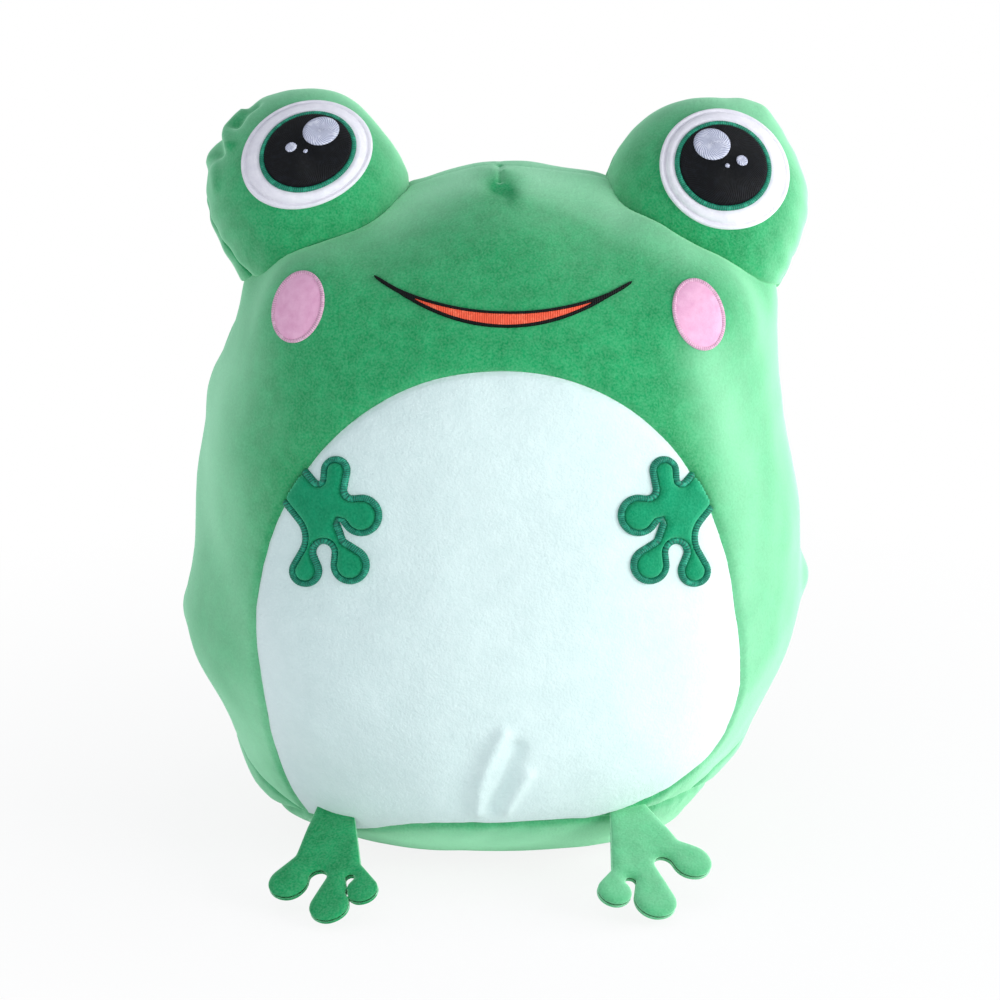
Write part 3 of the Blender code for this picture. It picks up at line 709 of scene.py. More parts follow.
@dataclass(frozen=True)
class Felt:
    """Pressed polyester felt, needled from loose fibres.

    Matted fibres give it a dry, slightly cloudy face with fine hairs and no weave.
    """

    name: str
    base: str
    shade: str
    cloud_size: float = 0.0040
    # Real fibres are 0.02 mm thick. Their matting is drawn at 0.6 mm, the finest that shows
    fibre_size: float = 0.0006
    fibre_height: float = 0.0003

    @cache
    def material(self) -> Material:
        """Return the felt as a material.

        Returns:
            The material.
        """
        constants = {
            "Roughness": 0.95,
            "Specular IOR Level": 0.2,
            "Sheen Weight": 0.25,
            "Sheen Roughness": 0.5,
        }
        made, tree, shader = new_material(self.name, constants)
        place = {"Vector": add_node(tree, "TexCoord", "Object")}
        cloud = {"Scale": 1 / self.cloud_size, "Detail": 4.0, "Roughness": 0.65}
        clouds = add_node(tree, "TexNoise", "Fac", cloud, place)
        limits = {"From Min": 0.35, "From Max": 0.65}
        factor = add_node(tree, "MapRange", "Result", limits, {"Value": clouds})
        ends = {MIX_A: linear(self.shade), MIX_B: linear(self.base)}
        coloured = add_node(tree, "Mix", MIX_RESULT, ends, {"Factor": factor}, data_type="RGBA")
        fibre = {"Scale": 1 / self.fibre_size, "Detail": 2.0, "Distortion": 1.2}
        fibres = add_node(tree, "TexNoise", "Fac", fibre, place)
        strength = {"Strength": 0.5, "Distance": self.fibre_height}
        bump = add_node(tree, "Bump", "Normal", strength, {"Height": fibres})
        tree.links.new(coloured, shader.inputs["Base Color"])
        tree.links.new(bump, shader.inputs["Normal"])
        return made


@dataclass(frozen=True)
class Thread:
    """Rayon embroidery thread, laid by machine in satin or filling stitches.

    Twisted rayon is glossy along each stitch. Painted shade darkens it between one stitch and the next, and
    painted highlights make it paler in patches.
    """

    name: str
    base: str
    # The dark colour is painted shade between stitches, and the pale one is a painted highlight
    dark: str
    pale: str
    # Real stitches are 0.4 mm apart. They are drawn at 0.8 mm, the finest that shows
    spacing: float = 0.0008
    turn: float = 0.0
    stitch_height: float = 0.0003
    # Distance between the places where painted highlights make the thread paler
    shine_size: float = 0.0018
    roughness: float = 0.5
    gloss: float = 0.3
    wander: float = 0.6

    @cache
    def material(self) -> Material:
        """Return the thread as a material whose stitches lie across the UV map's U.

        Returns:
            The material.
        """
        constants = {"Roughness": self.roughness, "Specular IOR Level": self.gloss}
        made, tree, shader = new_material(self.name, constants)
        flat = add_node(tree, "UVMap", "UV", uv_map="millimetres")
        turn = {"Rotation": (0, 0, self.turn)}
        turned = add_node(tree, "Mapping", "Vector", turn, {"Vector": flat})
        # A wave's period is a tenth of pi at a scale of 1
        wave = {
            "Scale": math.pi / 10 / (self.spacing / MM),
            "Distortion": self.wander,
            "Detail": 1.0,
            "Detail Scale": 0.5,
        }
        waves = add_node(tree, "TexWave", "Fac", wave, {"Vector": turned})
        # Painted shade between one stitch and the next, over the stitches' bumps
        ends = {MIX_A: linear(self.dark), MIX_B: linear(self.base)}
        between = add_node(tree, "Mix", MIX_RESULT, ends, {"Factor": waves}, data_type="RGBA")
        place = {"Vector": add_node(tree, "TexCoord", "Object")}
        uneven = add_node(
            tree, "TexNoise", "Fac", {"Scale": 1 / self.shine_size, "Detail": 2.0}, place
        )
        # Painted highlights in patches along the thread
        limits = {"From Min": 0.5, "From Max": 0.75, "To Max": 0.5}
        painted_shine = add_node(tree, "MapRange", "Result", limits, {"Value": uneven})
        pale = {MIX_B: linear(self.pale)}
        mixed = {"Factor": painted_shine, MIX_A: between}
        coloured = add_node(tree, "Mix", MIX_RESULT, pale, mixed, data_type="RGBA")
        strength = {"Strength": 0.6, "Distance": self.stitch_height}
        bump = add_node(tree, "Bump", "Normal", strength, {"Height": waves})
        tree.links.new(coloured, shader.inputs["Base Color"])
        tree.links.new(bump, shader.inputs["Normal"])
        return made


@dataclass(frozen=True)
class Fibre:
    """Loose polyester fibre, carded and blown in as stuffing, which looks like cloud."""

    name: str = "carded_polyester_fibre"
    base: str = "#eeeeea"
    shade: str = "#d2d2cc"
    clump_size: float = 0.010

    @cache
    def material(self) -> Material:
        """Return the stuffing as a material.

        Returns:
            The material.
        """
        made, tree, shader = new_material(self.name, {"Roughness": 1.0})
        place = {"Vector": add_node(tree, "TexCoord", "Object")}
        clump = {"Scale": 1 / self.clump_size, "Detail": 6.0, "Distortion": 0.8}
        clumps = add_node(tree, "TexNoise", "Fac", clump, place)
        ends = {MIX_A: linear(self.shade), MIX_B: linear(self.base)}
        coloured = add_node(tree, "Mix", MIX_RESULT, ends, {"Factor": clumps}, data_type="RGBA")
        tree.links.new(coloured, shader.inputs["Base Color"])
        return made


# Every velour paints sheen in towards a grazing angle; the hand's and the tummy's velour paint less of it
GREEN_VELOUR = Velour(
    "brushed_green_velour", base="#229b5e", dark="#178a50", pale="#b2f6c9", sheen="#b8f8cc"
)
HAND_VELOUR = Velour(
    "pressed_green_velour",
    base="#0d8a5e",
    dark="#0a7f55",
    pale="#5fdca9",
    sheen="#8fe8c0",
    edge_share=0.6,
    sheen_weight=0.2,
)
MINT_VELOUR = Velour(
    "brushed_mint_velour",
    base="#d2e6e3",
    dark="#cde2df",
    pale="#eef8f7",
    sheen="#ffffff",
    edge_share=0.5,
    sheen_weight=0.1,
)
WHITE_FELT = Felt("needled_white_felt", base="#eae9ef", shade="#dfdee6")
PINK_FELT = Felt("needled_pink_felt", base="#eab6d2", shade="#dfa3c4")
TEAL_THREAD = Thread("satin_stitched_teal_rayon", base="#0d8a6c", dark="#075c4a", pale="#3cc79e")
BLACK_THREAD = Thread(
    "fill_stitched_black_rayon", base="#0d1015", dark="#060709", pale="#1a1e25", turn=0.6, gloss=0.1
)
LINE_THREAD = Thread(
    "satin_stitched_black_rayon", base="#0c0e10", dark="#060708", pale="#191c1f", gloss=0.1
)
GLINT_THREAD = Thread(
    "fill_stitched_pale_rayon", base="#d0d4e4", dark="#979db6", pale="#eef0f8", turn=-0.8
)
RED_THREAD = Thread("fill_stitched_red_rayon", base="#f5603f", dark="#dd4a2d", pale="#ff8a66")
PINK_THREAD = Thread(
    "zigzag_stitched_pink_rayon", base="#e3b6cd", dark="#cc97b4", pale="#f6dbe8"
)
STUFFING = Fibre()


def new_piece(name: str, shape: BMesh, finish: Material) -> Object:
    """Turn a shape into a smooth piece with one material, and free the shape.

    Args:
        name: the piece's name.
        shape: its mesh, in place.
        finish: its material.

    Returns:
        The piece.
    """
    mesh = bpy.data.meshes.new(name)
    shape.to_mesh(mesh)
    shape.free()
    mesh.shade_smooth()
    mesh.materials.append(finish)
    piece = bpy.data.objects.new(name, mesh)
    bpy.context.scene.collection.objects.link(piece)
    return piece


def seat(piece: Object, body: str, slot: str, *nodes: str) -> Object:
    """Let a piece ride on a body and stand for some nodes.

    Args:
        piece: the piece.
        body: the body that it moves with.
        slot: not used.
        nodes: the nodes that it stands for.

    Returns:
        The piece.
    """
    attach(piece, body)
    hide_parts(*nodes)
    LOG.info("%s: %d faces", piece.name, len(piece.data.polygons))
    return piece


def stand_in(
    node: str, kind: str, shape: BMesh, finish: Velour | Felt | Thread, slot: str
) -> Object:
    """Turn a shape into the piece that stands for one node of the body.

    Args:
        node: the node, which the piece is named for.
        kind: what the piece is, for its name.
        shape: its mesh, in place.
        finish: what its surface is.
        slot: the record's material slot.

    Returns:
        The piece.
    """
    return seat(new_piece(f"{node}_{kind}", shape, finish.material()), "frog", slot, node)


# Body


@dataclass(frozen=True)
class Crease:
    """A fold in the cloth along a line of the face plane, given by its points.

    Its height is negative for a valley.
    """

    line: tuple[Pair, ...]
    width: float
    height: float

    def relief(self, flat: np.ndarray) -> np.ndarray:
        """Return how much the fold raises the cloth at points of the face plane.

        Args:
            flat: points of the face plane, one a row.

        Returns:
            The rise at each point, in metres.
        """
        nearest = np.full(len(flat), np.inf)
        for start, end in zip(np.array(self.line[:-1]), np.array(self.line[1:])):
            run = end - start
            share = np.clip(((flat - start) @ run) / (run @ run), 0, 1)
            gap = np.linalg.norm(flat - start - share[:, None] * run, axis=1)
            nearest = np.minimum(nearest, gap)
        return self.height * hollow(nearest, self.width)


class Stroke(Crease):
    """A stroke of painted light: painted sheen that makes the pile paler, and painted shade where its height
    is negative. Its height is the share of pale.
    """


@dataclass(frozen=True)
class Lump:
    """A place where the stuffing pushes the cloth out, or is missing behind it."""

    place: tuple[float, float, float]
    size: float
    height: float

    def relief(self, points: np.ndarray) -> np.ndarray:
        """Return how much the lump raises the cloth at places."""
        gap = np.linalg.norm(points - np.array(self.place), axis=1)
        return self.height * hollow(gap, self.size)


@dataclass(frozen=True)
class Seam:
    """How a sewn seam pulls the cloth in: a sharp groove in a broad dip, with puckers."""

    groove: float
    groove_width: float
    dip: float
    dip_width: float
    pucker: float

    def sunk(self, distance: np.ndarray) -> np.ndarray:
        """Return the relief at distances from the seam, below 0."""
        sharp = self.groove * hollow(distance, self.groove_width)
        return -sharp - self.dip * np.exp(-distance / self.dip_width)

    def gather(self, distance: np.ndarray) -> np.ndarray:
        """Return how much puckers show at distances from the seam."""
        return self.pucker * np.exp(-distance / self.dip_width)


class Panel(Enum):
    """The panels of the skin, with the node that each stands for."""

    TUMMY = "tummy_panel"
    FRONT = "front_panel"
    BACK_LEFT = "back_panel_left"
    BACK_RIGHT = "back_panel_right"
    BASE = "base_panel"

    @property
    def number(self) -> int:
        """Return the panel's place among the panels."""
        return list(Panel).index(self)


@dataclass
class Mound:
    """One eye mound: a flattened ball sewn into the head, and where its eye faces."""

    side: Side
    place_shares: Pair
    yaw: float
    pitch: float
    radius: float = 0.0365
    half_depth: float = 0.030
    behind_middle: float = 0.014
    columns: int = 176
    rows: int = 88

    def plane(self, body: Body) -> Matrix:
        """Return the mound's frame, with Z pointing out of its eye.

        Args:
            body: the body that the mound is sewn to.

        Returns:
            The frame.
        """
        across = body.half_width * self.place_shares[0]
        up = body.height * self.place_shares[1]
        height = (up - self.behind_middle * math.sin(FACE_LEAN)) / math.cos(FACE_LEAN)
        place = Matrix.Translation((across, self.behind_middle, height))
        turned = Matrix.Rotation(self.yaw, 3, "Y") @ Matrix.Rotation(-self.pitch, 3, "X")
        return place @ (FACE.to_3x3() @ turned).to_4x4()

    def local(self, points: np.ndarray, body: Body) -> np.ndarray:
        """Return points in the mound's frame."""
        inverse = np.array(self.plane(body).inverted())
        return points @ inverse[:3, :3].T + inverse[:3, 3]

    def ball_depth(self, points: np.ndarray, body: Body) -> np.ndarray:
        """Return about how far each point lies outside the mound's ball.

        Args:
            points: the points, one a row.
            body: the body that the mound is sewn to.

        Returns:
            The depths, in metres, negative inside the ball.
        """
        local = self.local(points, body)
        reach = np.array([self.radius, self.radius, self.half_depth])
        near = np.linalg.norm(local / reach, axis=1)
        slope = np.maximum(np.linalg.norm(local / reach**2, axis=1), 1e-9)
        return near * (near - 1) / slope


@dataclass
class Body:
    """The stuffed body: five velour panels round one filling."""

    height: float = 0.248
    half_width: float = 0.112
    front_depth: float = 0.090
    back_depth: float = 0.084
    base_flat: float = 0.0005
    squareness: float = 2.15
    columns: int = 284
    rows: int = 200
    # Height, half width, front depth, back depth and sideways shift of each ring
    ring_shares: tuple[tuple[float, float, float, float, float], ...] = (
        (0.000, 0.00, 0.00, 0.00, 0.020),
        (0.003, 0.40, 0.18, 0.21, 0.020),
        (0.012, 0.56, 0.41, 0.41, 0.000),
        (0.047, 0.665, 0.66, 0.60, -0.040),
        (0.122, 0.775, 0.87, 0.80, -0.055),
        (0.215, 0.885, 0.975, 0.94, -0.032),
        (0.300, 0.975, 1.00, 0.985, -0.030),
        (0.385, 0.995, 0.995, 1.00, -0.020),
        (0.490, 0.965, 0.965, 1.00, 0.000),
        (0.620, 0.93, 0.90, 0.94, -0.015),
        (0.745, 0.87, 0.82, 0.85, 0.000),
        (0.850, 0.715, 0.69, 0.71, 0.010),
        (0.935, 0.41, 0.46, 0.48, 0.010),
        (0.982, 0.18, 0.23, 0.24, 0.010),
        (1.000, 0.00, 0.00, 0.00, 0.010),
    )
    # The tummy panel's sizes, its middle, and how square its upper and lower parts are
    tummy_half_width: float = 0.0864
    tummy_upper: float = 0.0905
    tummy_lower: float = 0.0759
    tummy_place: Pair = (-0.0017, 0.0696)
    tummy_upper_power: float = 1.94
    tummy_upper_right_power: float = 2.16
    tummy_lower_power: float = 3.4
    # How much the panel's lower part drops to the left, and how far it all leans
    tummy_drop: float = 0.075
    tummy_lean: float = math.radians(9.5)
    tummy_steps: int = 240
    # Depth in front of the face plane at which the tummy panel can start
    face_start: float = 0.026
    # How far behind the middle the side seam runs, and the height from which it bends
    # forwards, round a corner at the turn's height, to its low end
    side_seam_behind: float = 0.008
    side_seam_bend: float = 0.0950
    side_seam_turn: float = 0.0300
    side_seam_low: float = -0.0200
    side_seam_low_front: float = 0.1000
    side_seam_steps: int = 24
    # Heights of the base seam in front and behind
    base_front: float = 0.0264
    base_back: float = 0.0119
    # How much lower the base seam runs on the left, and how far out it drops
    base_left_drop: float = 0.0070
    base_drop_reach: Pair = (0.020, 0.060)
    dart_length: float = 0.015
    # Distances between the points that stand for a seam and for a crease
    seam_step: float = 0.0004
    crease_step: float = 0.0015
    # How near creases and seams the faces are divided, the seams' twice
    crease_reach: float = 0.0080
    seam_reaches: tuple[float, ...] = (0.0045, 0.0020)
    # How deep the stuffing lies, and the faces round it and up it
    stuffing_inset: float = 0.0085
    stuffing_faces: tuple[int, int] = (60, 40)
    stuffing_fill: float = 0.9
    # Share by which a panel's cut is longer than it spans, because it wraps round
    wrap: float = 1.15
    broad_swell: Swell = Swell(0.0010, 0.038, 3.1)
    fine_swell: Swell = Swell(0.0005, 0.014, 7.7)
    pucker: Swell = Swell(1.0, 0.0055, 11.3)
    # Depths in front of the face plane over which creases and painted strokes fade in
    crease_front: Pair = (0.0, 0.045)
    stroke_front: Pair = (-0.030, 0.0)
    seams: dict[str, Seam] = field(
        default_factory=lambda: {
            "tummy": Seam(0.0010, 0.0013, 0.0010, 0.006, 0.00025),
            "side": Seam(0.0011, 0.0014, 0.0014, 0.008, 0.00035),
            "base": Seam(0.0012, 0.0014, 0.0012, 0.007, 0.00040),
            "centre": Seam(0.0010, 0.0013, 0.0012, 0.008, 0.00030),
            "dart": Seam(0.0007, 0.0012, 0.0006, 0.004, 0.00010),
        }
    )
    mound_seam: Seam = Seam(0.0008, 0.0014, -0.0016, 0.007, 0.00025)
    # Heights between which the side and centre seams flatten out over the crown
    crown_low: float = 0.205
    crown_high: float = 0.236
    crown_seam: float = 0.12
    creases: tuple[Crease, ...] = (
        Crease(((0.0010, 0.0325), (-0.0036, 0.0240), (-0.0074, 0.0130), (-0.0080, 0.0045)),
               0.0023, 0.0022),
        Crease(((0.0060, 0.0270), (0.0014, 0.0150), (-0.0022, 0.0060)), 0.0028, -0.0026),
        Crease(((0.0096, 0.0180), (0.0050, 0.0100), (0.0022, 0.0050)), 0.0022, 0.0018),
        Crease(((-0.0112, 0.0240), (-0.0140, 0.0080)), 0.0060, -0.0010),
        Crease(((-0.0012, 0.2258), (0.0016, 0.2250)), 0.0040, -0.0016),
    )
    lumps: tuple[Lump, ...] = (
        Lump((-0.112, 0.0, 0.100), 0.011, -0.0034),
        Lump((-0.112, 0.0, 0.083), 0.009, 0.0016),
        Lump((-0.101, -0.005, 0.058), 0.016, -0.0042),
        Lump((-0.108, 0.0, 0.129), 0.016, 0.0019),
        Lump((-0.102, 0.0, 0.166), 0.011, 0.0018),
        Lump((-0.081, -0.012, 0.021), 0.015, 0.0034),
        Lump((-0.086, 0.0, 0.209), 0.013, 0.0062),
        Lump((0.088, 0.0, 0.203), 0.015, 0.0086),
        Lump((0.110, 0.0, 0.094), 0.008, 0.0030),
        Lump((0.108, 0.0, 0.111), 0.009, -0.0020),
        Lump((0.103, 0.0, 0.068), 0.013, -0.0022),
        Lump((0.085, -0.006, 0.031), 0.020, 0.0052),
        Lump((0.034, 0.010, 0.238), 0.014, 0.0045),
        Lump((0.002, 0.010, 0.248), 0.024, 0.0016),
        Lump((-0.068, -0.030, 0.212), 0.024, 0.0105),
        Lump((0.074, -0.030, 0.208), 0.024, 0.0100),
        Lump((0.050, -0.020, 0.226), 0.016, 0.0050),
        Lump((-0.056, -0.062, 0.026), 0.011, 0.0024),
    )
    # Painted light: painted sheen on the brow and down both sides, painted shade in the dimple below the
    # dart, and painted floor light along the base
    strokes: tuple[Stroke, ...] = (
        Stroke(((-0.0400, 0.2175), (-0.0150, 0.2290)), 0.008, 0.32),
        Stroke(((0.0150, 0.2295), (0.0380, 0.2240)), 0.008, 0.32),
        Stroke(((0.0420, 0.2130), (0.0640, 0.2010)), 0.007, 0.16),
        Stroke(((-0.0015, 0.2250), (0.0030, 0.2240)), 0.0036, -0.40),
        Stroke(((-0.1000, 0.1600), (-0.1020, 0.1300), (-0.0970, 0.0924), (-0.0900, 0.0700),
                (-0.0840, 0.0280)), 0.011, 0.30),
        Stroke(((0.0740, 0.1650), (0.0840, 0.1300), (0.0870, 0.0930), (0.0850, 0.0600),
                (0.0740, 0.0250)), 0.010, 0.34),
        Stroke(((-0.0700, -0.0075), (0.0000, -0.0095), (0.0560, -0.0070)), 0.007, 0.46),
    )

    def ring_values(self, shares: np.ndarray) -> np.ndarray:
        """Return the ring values at shares of the way up the list of rings.

        Args:
            shares: shares from 0 at the bottom to 1 at the top.

        Returns:
            Each share's row of values.
        """
        table = np.array(self.ring_shares)
        last = len(table) - 1
        place = np.clip(shares, 0, 1) * last
        index = np.minimum(place.astype(int), last - 1)
        part = (place - index)[:, None]
        run = np.vstack([2 * table[0] - table[1], table, 2 * table[-1] - table[-2]])
        p0, p1, p2, p3 = (run[index + step] for step in range(4))
        bend = 2 * p0 - 5 * p1 + 4 * p2 - p3
        twist = 3 * p1 - p0 - 3 * p2 + p3
        return (2 * p1 + (p2 - p0) * part + bend * part**2 + twist * part**3) / 2

    def form(self, columns: int, rows: int, inset: float = 0.0) -> BMesh:
        """Return the body's closed form.

        Args:
            columns: faces round it.
            rows: faces from top to bottom.
            inset: how far it lies inside the body's own surface.

        Returns:
            The form.
        """
        shape = bmesh.new()
        bmesh.ops.create_uvsphere(shape, u_segments=columns, v_segments=rows, radius=1)
        unit = coords(shape)
        latitude = np.arcsin(np.clip(unit[:, 2], -1, 1))
        height, half, front, back, side = self.ring_values(latitude / math.pi + 0.5).T
        flat = np.maximum(np.hypot(unit[:, 0], unit[:, 1]), 1e-9)
        power = 2 / self.squareness
        cosine = np.sign(unit[:, 0]) * np.abs(unit[:, 0] / flat) ** power
        sine = np.sign(unit[:, 1]) * np.abs(unit[:, 1] / flat) ** power
        depth = np.where(sine < 0, self.front_depth * front, self.back_depth * back)
        places = np.column_stack(
            [
                self.half_width * (half * cosine + side),
                depth * sine,
                self.height * height - self.base_flat,
            ]
        )
        place_coords(shape, places)
        if inset:
            places = places - normals(shape) * inset
        # The frog's weight presses its underside flat
        places[:, 2] = np.maximum(places[:, 2], inset)
        place_coords(shape, places)
        return shape

    def face_coords(self, points: np.ndarray) -> np.ndarray:
        """Return points in the face plane's frame, with the last along the line of sight."""
        turn = np.array(FACE.inverted().to_3x3())
        return points @ turn.T

    def tummy_outline(self) -> np.ndarray:
        """Return the tummy panel's outline on the face plane.

        Returns:
            The points, one a row, in order.
        """
        angles = np.arange(self.tummy_steps) * math.tau / self.tummy_steps
        upper = np.sin(angles) >= 0
        right = np.cos(angles) >= 0
        above = np.where(right, 2 / self.tummy_upper_right_power, 2 / self.tummy_upper_power)
        power = np.where(upper, above, 2 / self.tummy_lower_power)
        height = np.where(upper, self.tummy_upper, self.tummy_lower)
        x = np.sign(np.cos(angles)) * np.abs(np.cos(angles)) ** power
        y = np.sign(np.sin(angles)) * np.abs(np.sin(angles)) ** power
        dropped = self.tummy_drop * np.clip(-y, 0, 1)
        points = np.column_stack(
            [self.tummy_half_width * x, height * y + self.tummy_half_width * x * dropped]
        )
        cosine = math.cos(self.tummy_lean)
        sine = math.sin(self.tummy_lean)
        return points @ np.array([[cosine, sine], [-sine, cosine]]) + self.tummy_place

    def tummy_depth(self, points: np.ndarray) -> np.ndarray:
        """Return how far points lie inside the tummy panel's outline, seen from in front."""
        local = self.face_coords(points)
        inside = depth_inside(local[:, :2], self.tummy_outline())
        return np.minimum(inside, local[:, 2] - self.face_start)

    def base_depth(self, points: np.ndarray) -> np.ndarray:
        """Return how far points lie below the base seam's plane.

        Args:
            points: the points, one a row.

        Returns:
            The depths, in metres.
        """
        run = self.front_depth + self.back_depth
        tilt = math.atan2(self.base_back - self.base_front, run)
        ahead = points[:, 1] + self.front_depth
        dropped = smooth_step(-points[:, 0], *self.base_drop_reach)
        seam = self.base_front - self.base_left_drop * dropped
        return ahead * math.sin(tilt) - (points[:, 2] - seam) * math.cos(tilt)

    def front_depth_inside(self, points: np.ndarray) -> np.ndarray:
        """Return how far points lie in front of the side seam.

        Args:
            points: the points, one a row.

        Returns:
            The depths, in metres, negative behind the seam.
        """
        far = self.front_depth * 2
        top = self.height * 2
        middle = self.side_seam_behind
        low = np.array([-self.side_seam_low_front, self.side_seam_low])
        high = np.array([middle, self.side_seam_bend])
        between = np.array([middle, self.side_seam_turn])
        outline = [(middle, top), (-far, top), (-far, self.side_seam_low)]
        for share in np.arange(self.side_seam_steps + 1) / self.side_seam_steps:
            first = low + (between - low) * share
            second = between + (high - between) * share
            outline.append(tuple(first + (second - first) * share))
        return depth_inside(points[:, 1:], np.array(outline))

    def panel_numbers(self, centres: np.ndarray) -> np.ndarray:
        """Return the number of the panel that each face belongs to.

        Args:
            centres: the faces' middles, one a row.

        Returns:
            Each face's number.
        """
        numbers = np.where(centres[:, 0] < 0, Panel.BACK_LEFT.number, Panel.BACK_RIGHT.number)
        numbers = np.where(self.front_depth_inside(centres) > 0, Panel.FRONT.number, numbers)
        numbers = np.where(self.tummy_depth(centres) > 0, Panel.TUMMY.number, numbers)
        return np.where(self.base_depth(centres) > 0, Panel.BASE.number, numbers)

    def seam_of(self, numbers: set[int]) -> str:
        """Return the name of the seam between two panels.

        Args:
            numbers: the two panels' numbers.

        Returns:
            The seam's name.
        """
        if Panel.BASE.number in numbers:
            return "base"
        if Panel.TUMMY.number in numbers:
            return "tummy"
        return "side" if Panel.FRONT.number in numbers else "centre"

    def seam_points(self, shape: BMesh) -> dict[str, list[Vector]]:
        """Return points along each seam, close together, from the edges between panels.

        Args:
            shape: the body, cut into panels.

        Returns:
            Each seam's points.
        """
        numbers = self.panel_numbers(face_centres(shape))
        shape.faces.index_update()
        found: dict[str, list[Vector]] = {name: [] for name in self.seams}
        for edge in shape.edges:
            beside = {int(numbers[face.index]) for face in edge.link_faces}
            if len(beside) == 2:
                first, second = (vert.co.copy() for vert in edge.verts)
                steps = max(1, math.ceil((second - first).length / self.seam_step))
                for step in range(steps):
                    found[self.seam_of(beside)].append(first.lerp(second, step / steps))
        return found

    def dart_points(self, tree: BVHTree) -> list[Vector]:
        """Return points along the dart on the crown.

        Args:
            tree: the plain body's surface.

        Returns:
            The points.
        """
        steps = math.ceil(self.dart_length / self.seam_step)
        points = []
        for step in range(steps + 1):
            y = self.side_seam_behind - self.dart_length * step / steps
            place, facing, index, gap = tree.ray_cast(Vector((0, y, 1)), Vector((0, 0, -1)))
            points.append(place)
        return points

    def crease_points(self, tree: BVHTree) -> list[Vector]:
        """Return points along each crease.

        Args:
            tree: the plain body's surface.

        Returns:
            The points.
        """
        back = -(FACE.to_3x3() @ Vector((0, 0, 1)))
        points = []
        for crease in self.creases:
            for start, end in zip(crease.line[:-1], crease.line[1:]):
                steps = math.ceil(math.dist(start, end) / self.crease_step)
                for step in range(steps + 1):
                    across, up = Vector(start).lerp(Vector(end), step / steps)
                    ahead = FACE @ Vector((across, up, PRESS_START))
                    place, facing, index, gap = tree.ray_cast(ahead, back)
                    points.append(place)
        return points

    def refine_near(self, shape: BMesh, points: list[Vector], reach: float) -> None:
        """Divide the faces that lie near some points into four, and leave none with many sides.

        Args:
            shape: the body.
            points: the points.
            reach: distance from a point within which faces are divided.
        """
        tree = search_tree(points)
        near = {vert for vert in shape.verts if tree.find(vert.co)[2] < reach}
        edges = [edge for edge in shape.edges if near.issuperset(edge.verts)]
        bmesh.ops.subdivide_edges(shape, edges=edges, cuts=1, use_grid_fill=True)
        many = [face for face in shape.faces if len(face.verts) > 4]
        bmesh.ops.triangulate(shape, faces=many)

    def relief(
        self,
        shape: BMesh,
        seam_points: dict[str, list[Vector]],
        mounds: Sequence[Mound],
    ) -> np.ndarray:
        """Return how far each vertex moves along its normal.

        Args:
            shape: the plain body.
            seam_points: points along each seam.
            mounds: the eye mounds, which are sewn into the head.

        Returns:
            The moves, one for each vertex, in metres.
        """
        points = coords(shape)
        total = self.broad_swell.relief(points) + self.fine_swell.relief(points)
        pucker = self.pucker.relief(points)
        crown = smooth_step(points[:, 2], self.crown_low, self.crown_high)
        flattened = 1 - (1 - self.crown_seam) * crown
        sunk = np.zeros(len(points))
        gather = np.zeros(len(points))
        for name, seam in self.seams.items():
            tree = search_tree(seam_points[name])
            distance = np.array([tree.find(place)[2] for place in points.tolist()])
            strength = 1 if name == "dart" else flattened
            sunk = np.minimum(sunk, seam.sunk(distance) * strength)
            gather = np.maximum(gather, seam.gather(distance) * strength)
        gaps = [np.abs(mound.ball_depth(points, self)) for mound in mounds]
        distance = np.min(gaps, axis=0)
        gather = np.maximum(gather, self.mound_seam.gather(distance))
        total += sunk + self.mound_seam.sunk(distance) + gather * pucker
        flat = self.face_coords(points)
        ahead = smooth_step(flat[:, 2], *self.crease_front)
        for crease in self.creases:
            total += crease.relief(flat[:, :2]) * ahead
        for lump in self.lumps:
            total += lump.relief(points)
        return total

    def build(self, mounds: Sequence[Mound]) -> Carrier:
        """Make the five panels and the stuffing.

        Args:
            mounds: the eye mounds, which are sewn into the head.

        Returns:
            The finished surface of the whole body.
        """
        coarse = 1
        shape = self.form(self.columns // coarse, self.rows // coarse)
        cut_along(shape, self.base_depth(coords(shape)), SNAP_SHARE)
        cut_along(shape, self.tummy_depth(coords(shape)), SNAP_SHARE)
        triangulate_across(shape, self.front_depth_inside(coords(shape)))
        cut_along(shape, self.front_depth_inside(coords(shape)), SNAP_SHARE)
        # The centre seam runs up the back alone
        behind = self.front_depth_inside(coords(shape)) < 1e-6
        cut_along(shape, coords(shape)[:, 0], SNAP_SHARE, behind)
        seam_points = self.seam_points(shape)
        tree = BVHTree.FromBMesh(shape)
        seam_points["dart"] = self.dart_points(tree)
        self.refine_near(shape, self.crease_points(tree), self.crease_reach)
        along = [point for points in seam_points.values() for point in points]
        for reach in self.seam_reaches:
            self.refine_near(shape, along, reach)
        numbers = self.panel_numbers(face_centres(shape))
        moved = coords(shape) + normals(shape) * self.relief(shape, seam_points, mounds)[:, None]
        moved[:, 2] = np.maximum(moved[:, 2], 0)
        place_coords(shape, moved)
        flat = self.face_coords(moved)
        ahead = smooth_step(flat[:, 2], *self.stroke_front)
        # Painted light: the strokes paint sheen and shade into the cloth for the velour to read
        brush(shape, sum(painted_stroke.relief(flat[:, :2]) for painted_stroke in self.strokes) * ahead)
        carrier = Carrier(shape)
        for panel in Panel:
            part = shape.copy()
            keep_faces(part, numbers == panel.number)
            finish, slot = GREEN_VELOUR, "velour_green"
            if panel is Panel.TUMMY:
                finish, slot = MINT_VELOUR, "velour_mint"
            piece = stand_in(panel.value, "cloth", part, finish, slot)
            self.thicken(piece)
        shape.free()
        inner = self.form(*self.stuffing_faces, self.stuffing_inset)
        stuffing = new_piece("body_stuffing", inner, STUFFING.material())
        seat(stuffing, "frog", "polyester_fibre", "body_filling")
        return carrier

    def thicken(self, piece: Object) -> None:
        """Give a cloth panel its thickness, inwards."""
        modifier = piece.modifiers.new("cloth", "SOLIDIFY")
        modifier.thickness = CLOTH_THICKNESS
        modifier.offset = -1


# Eyes


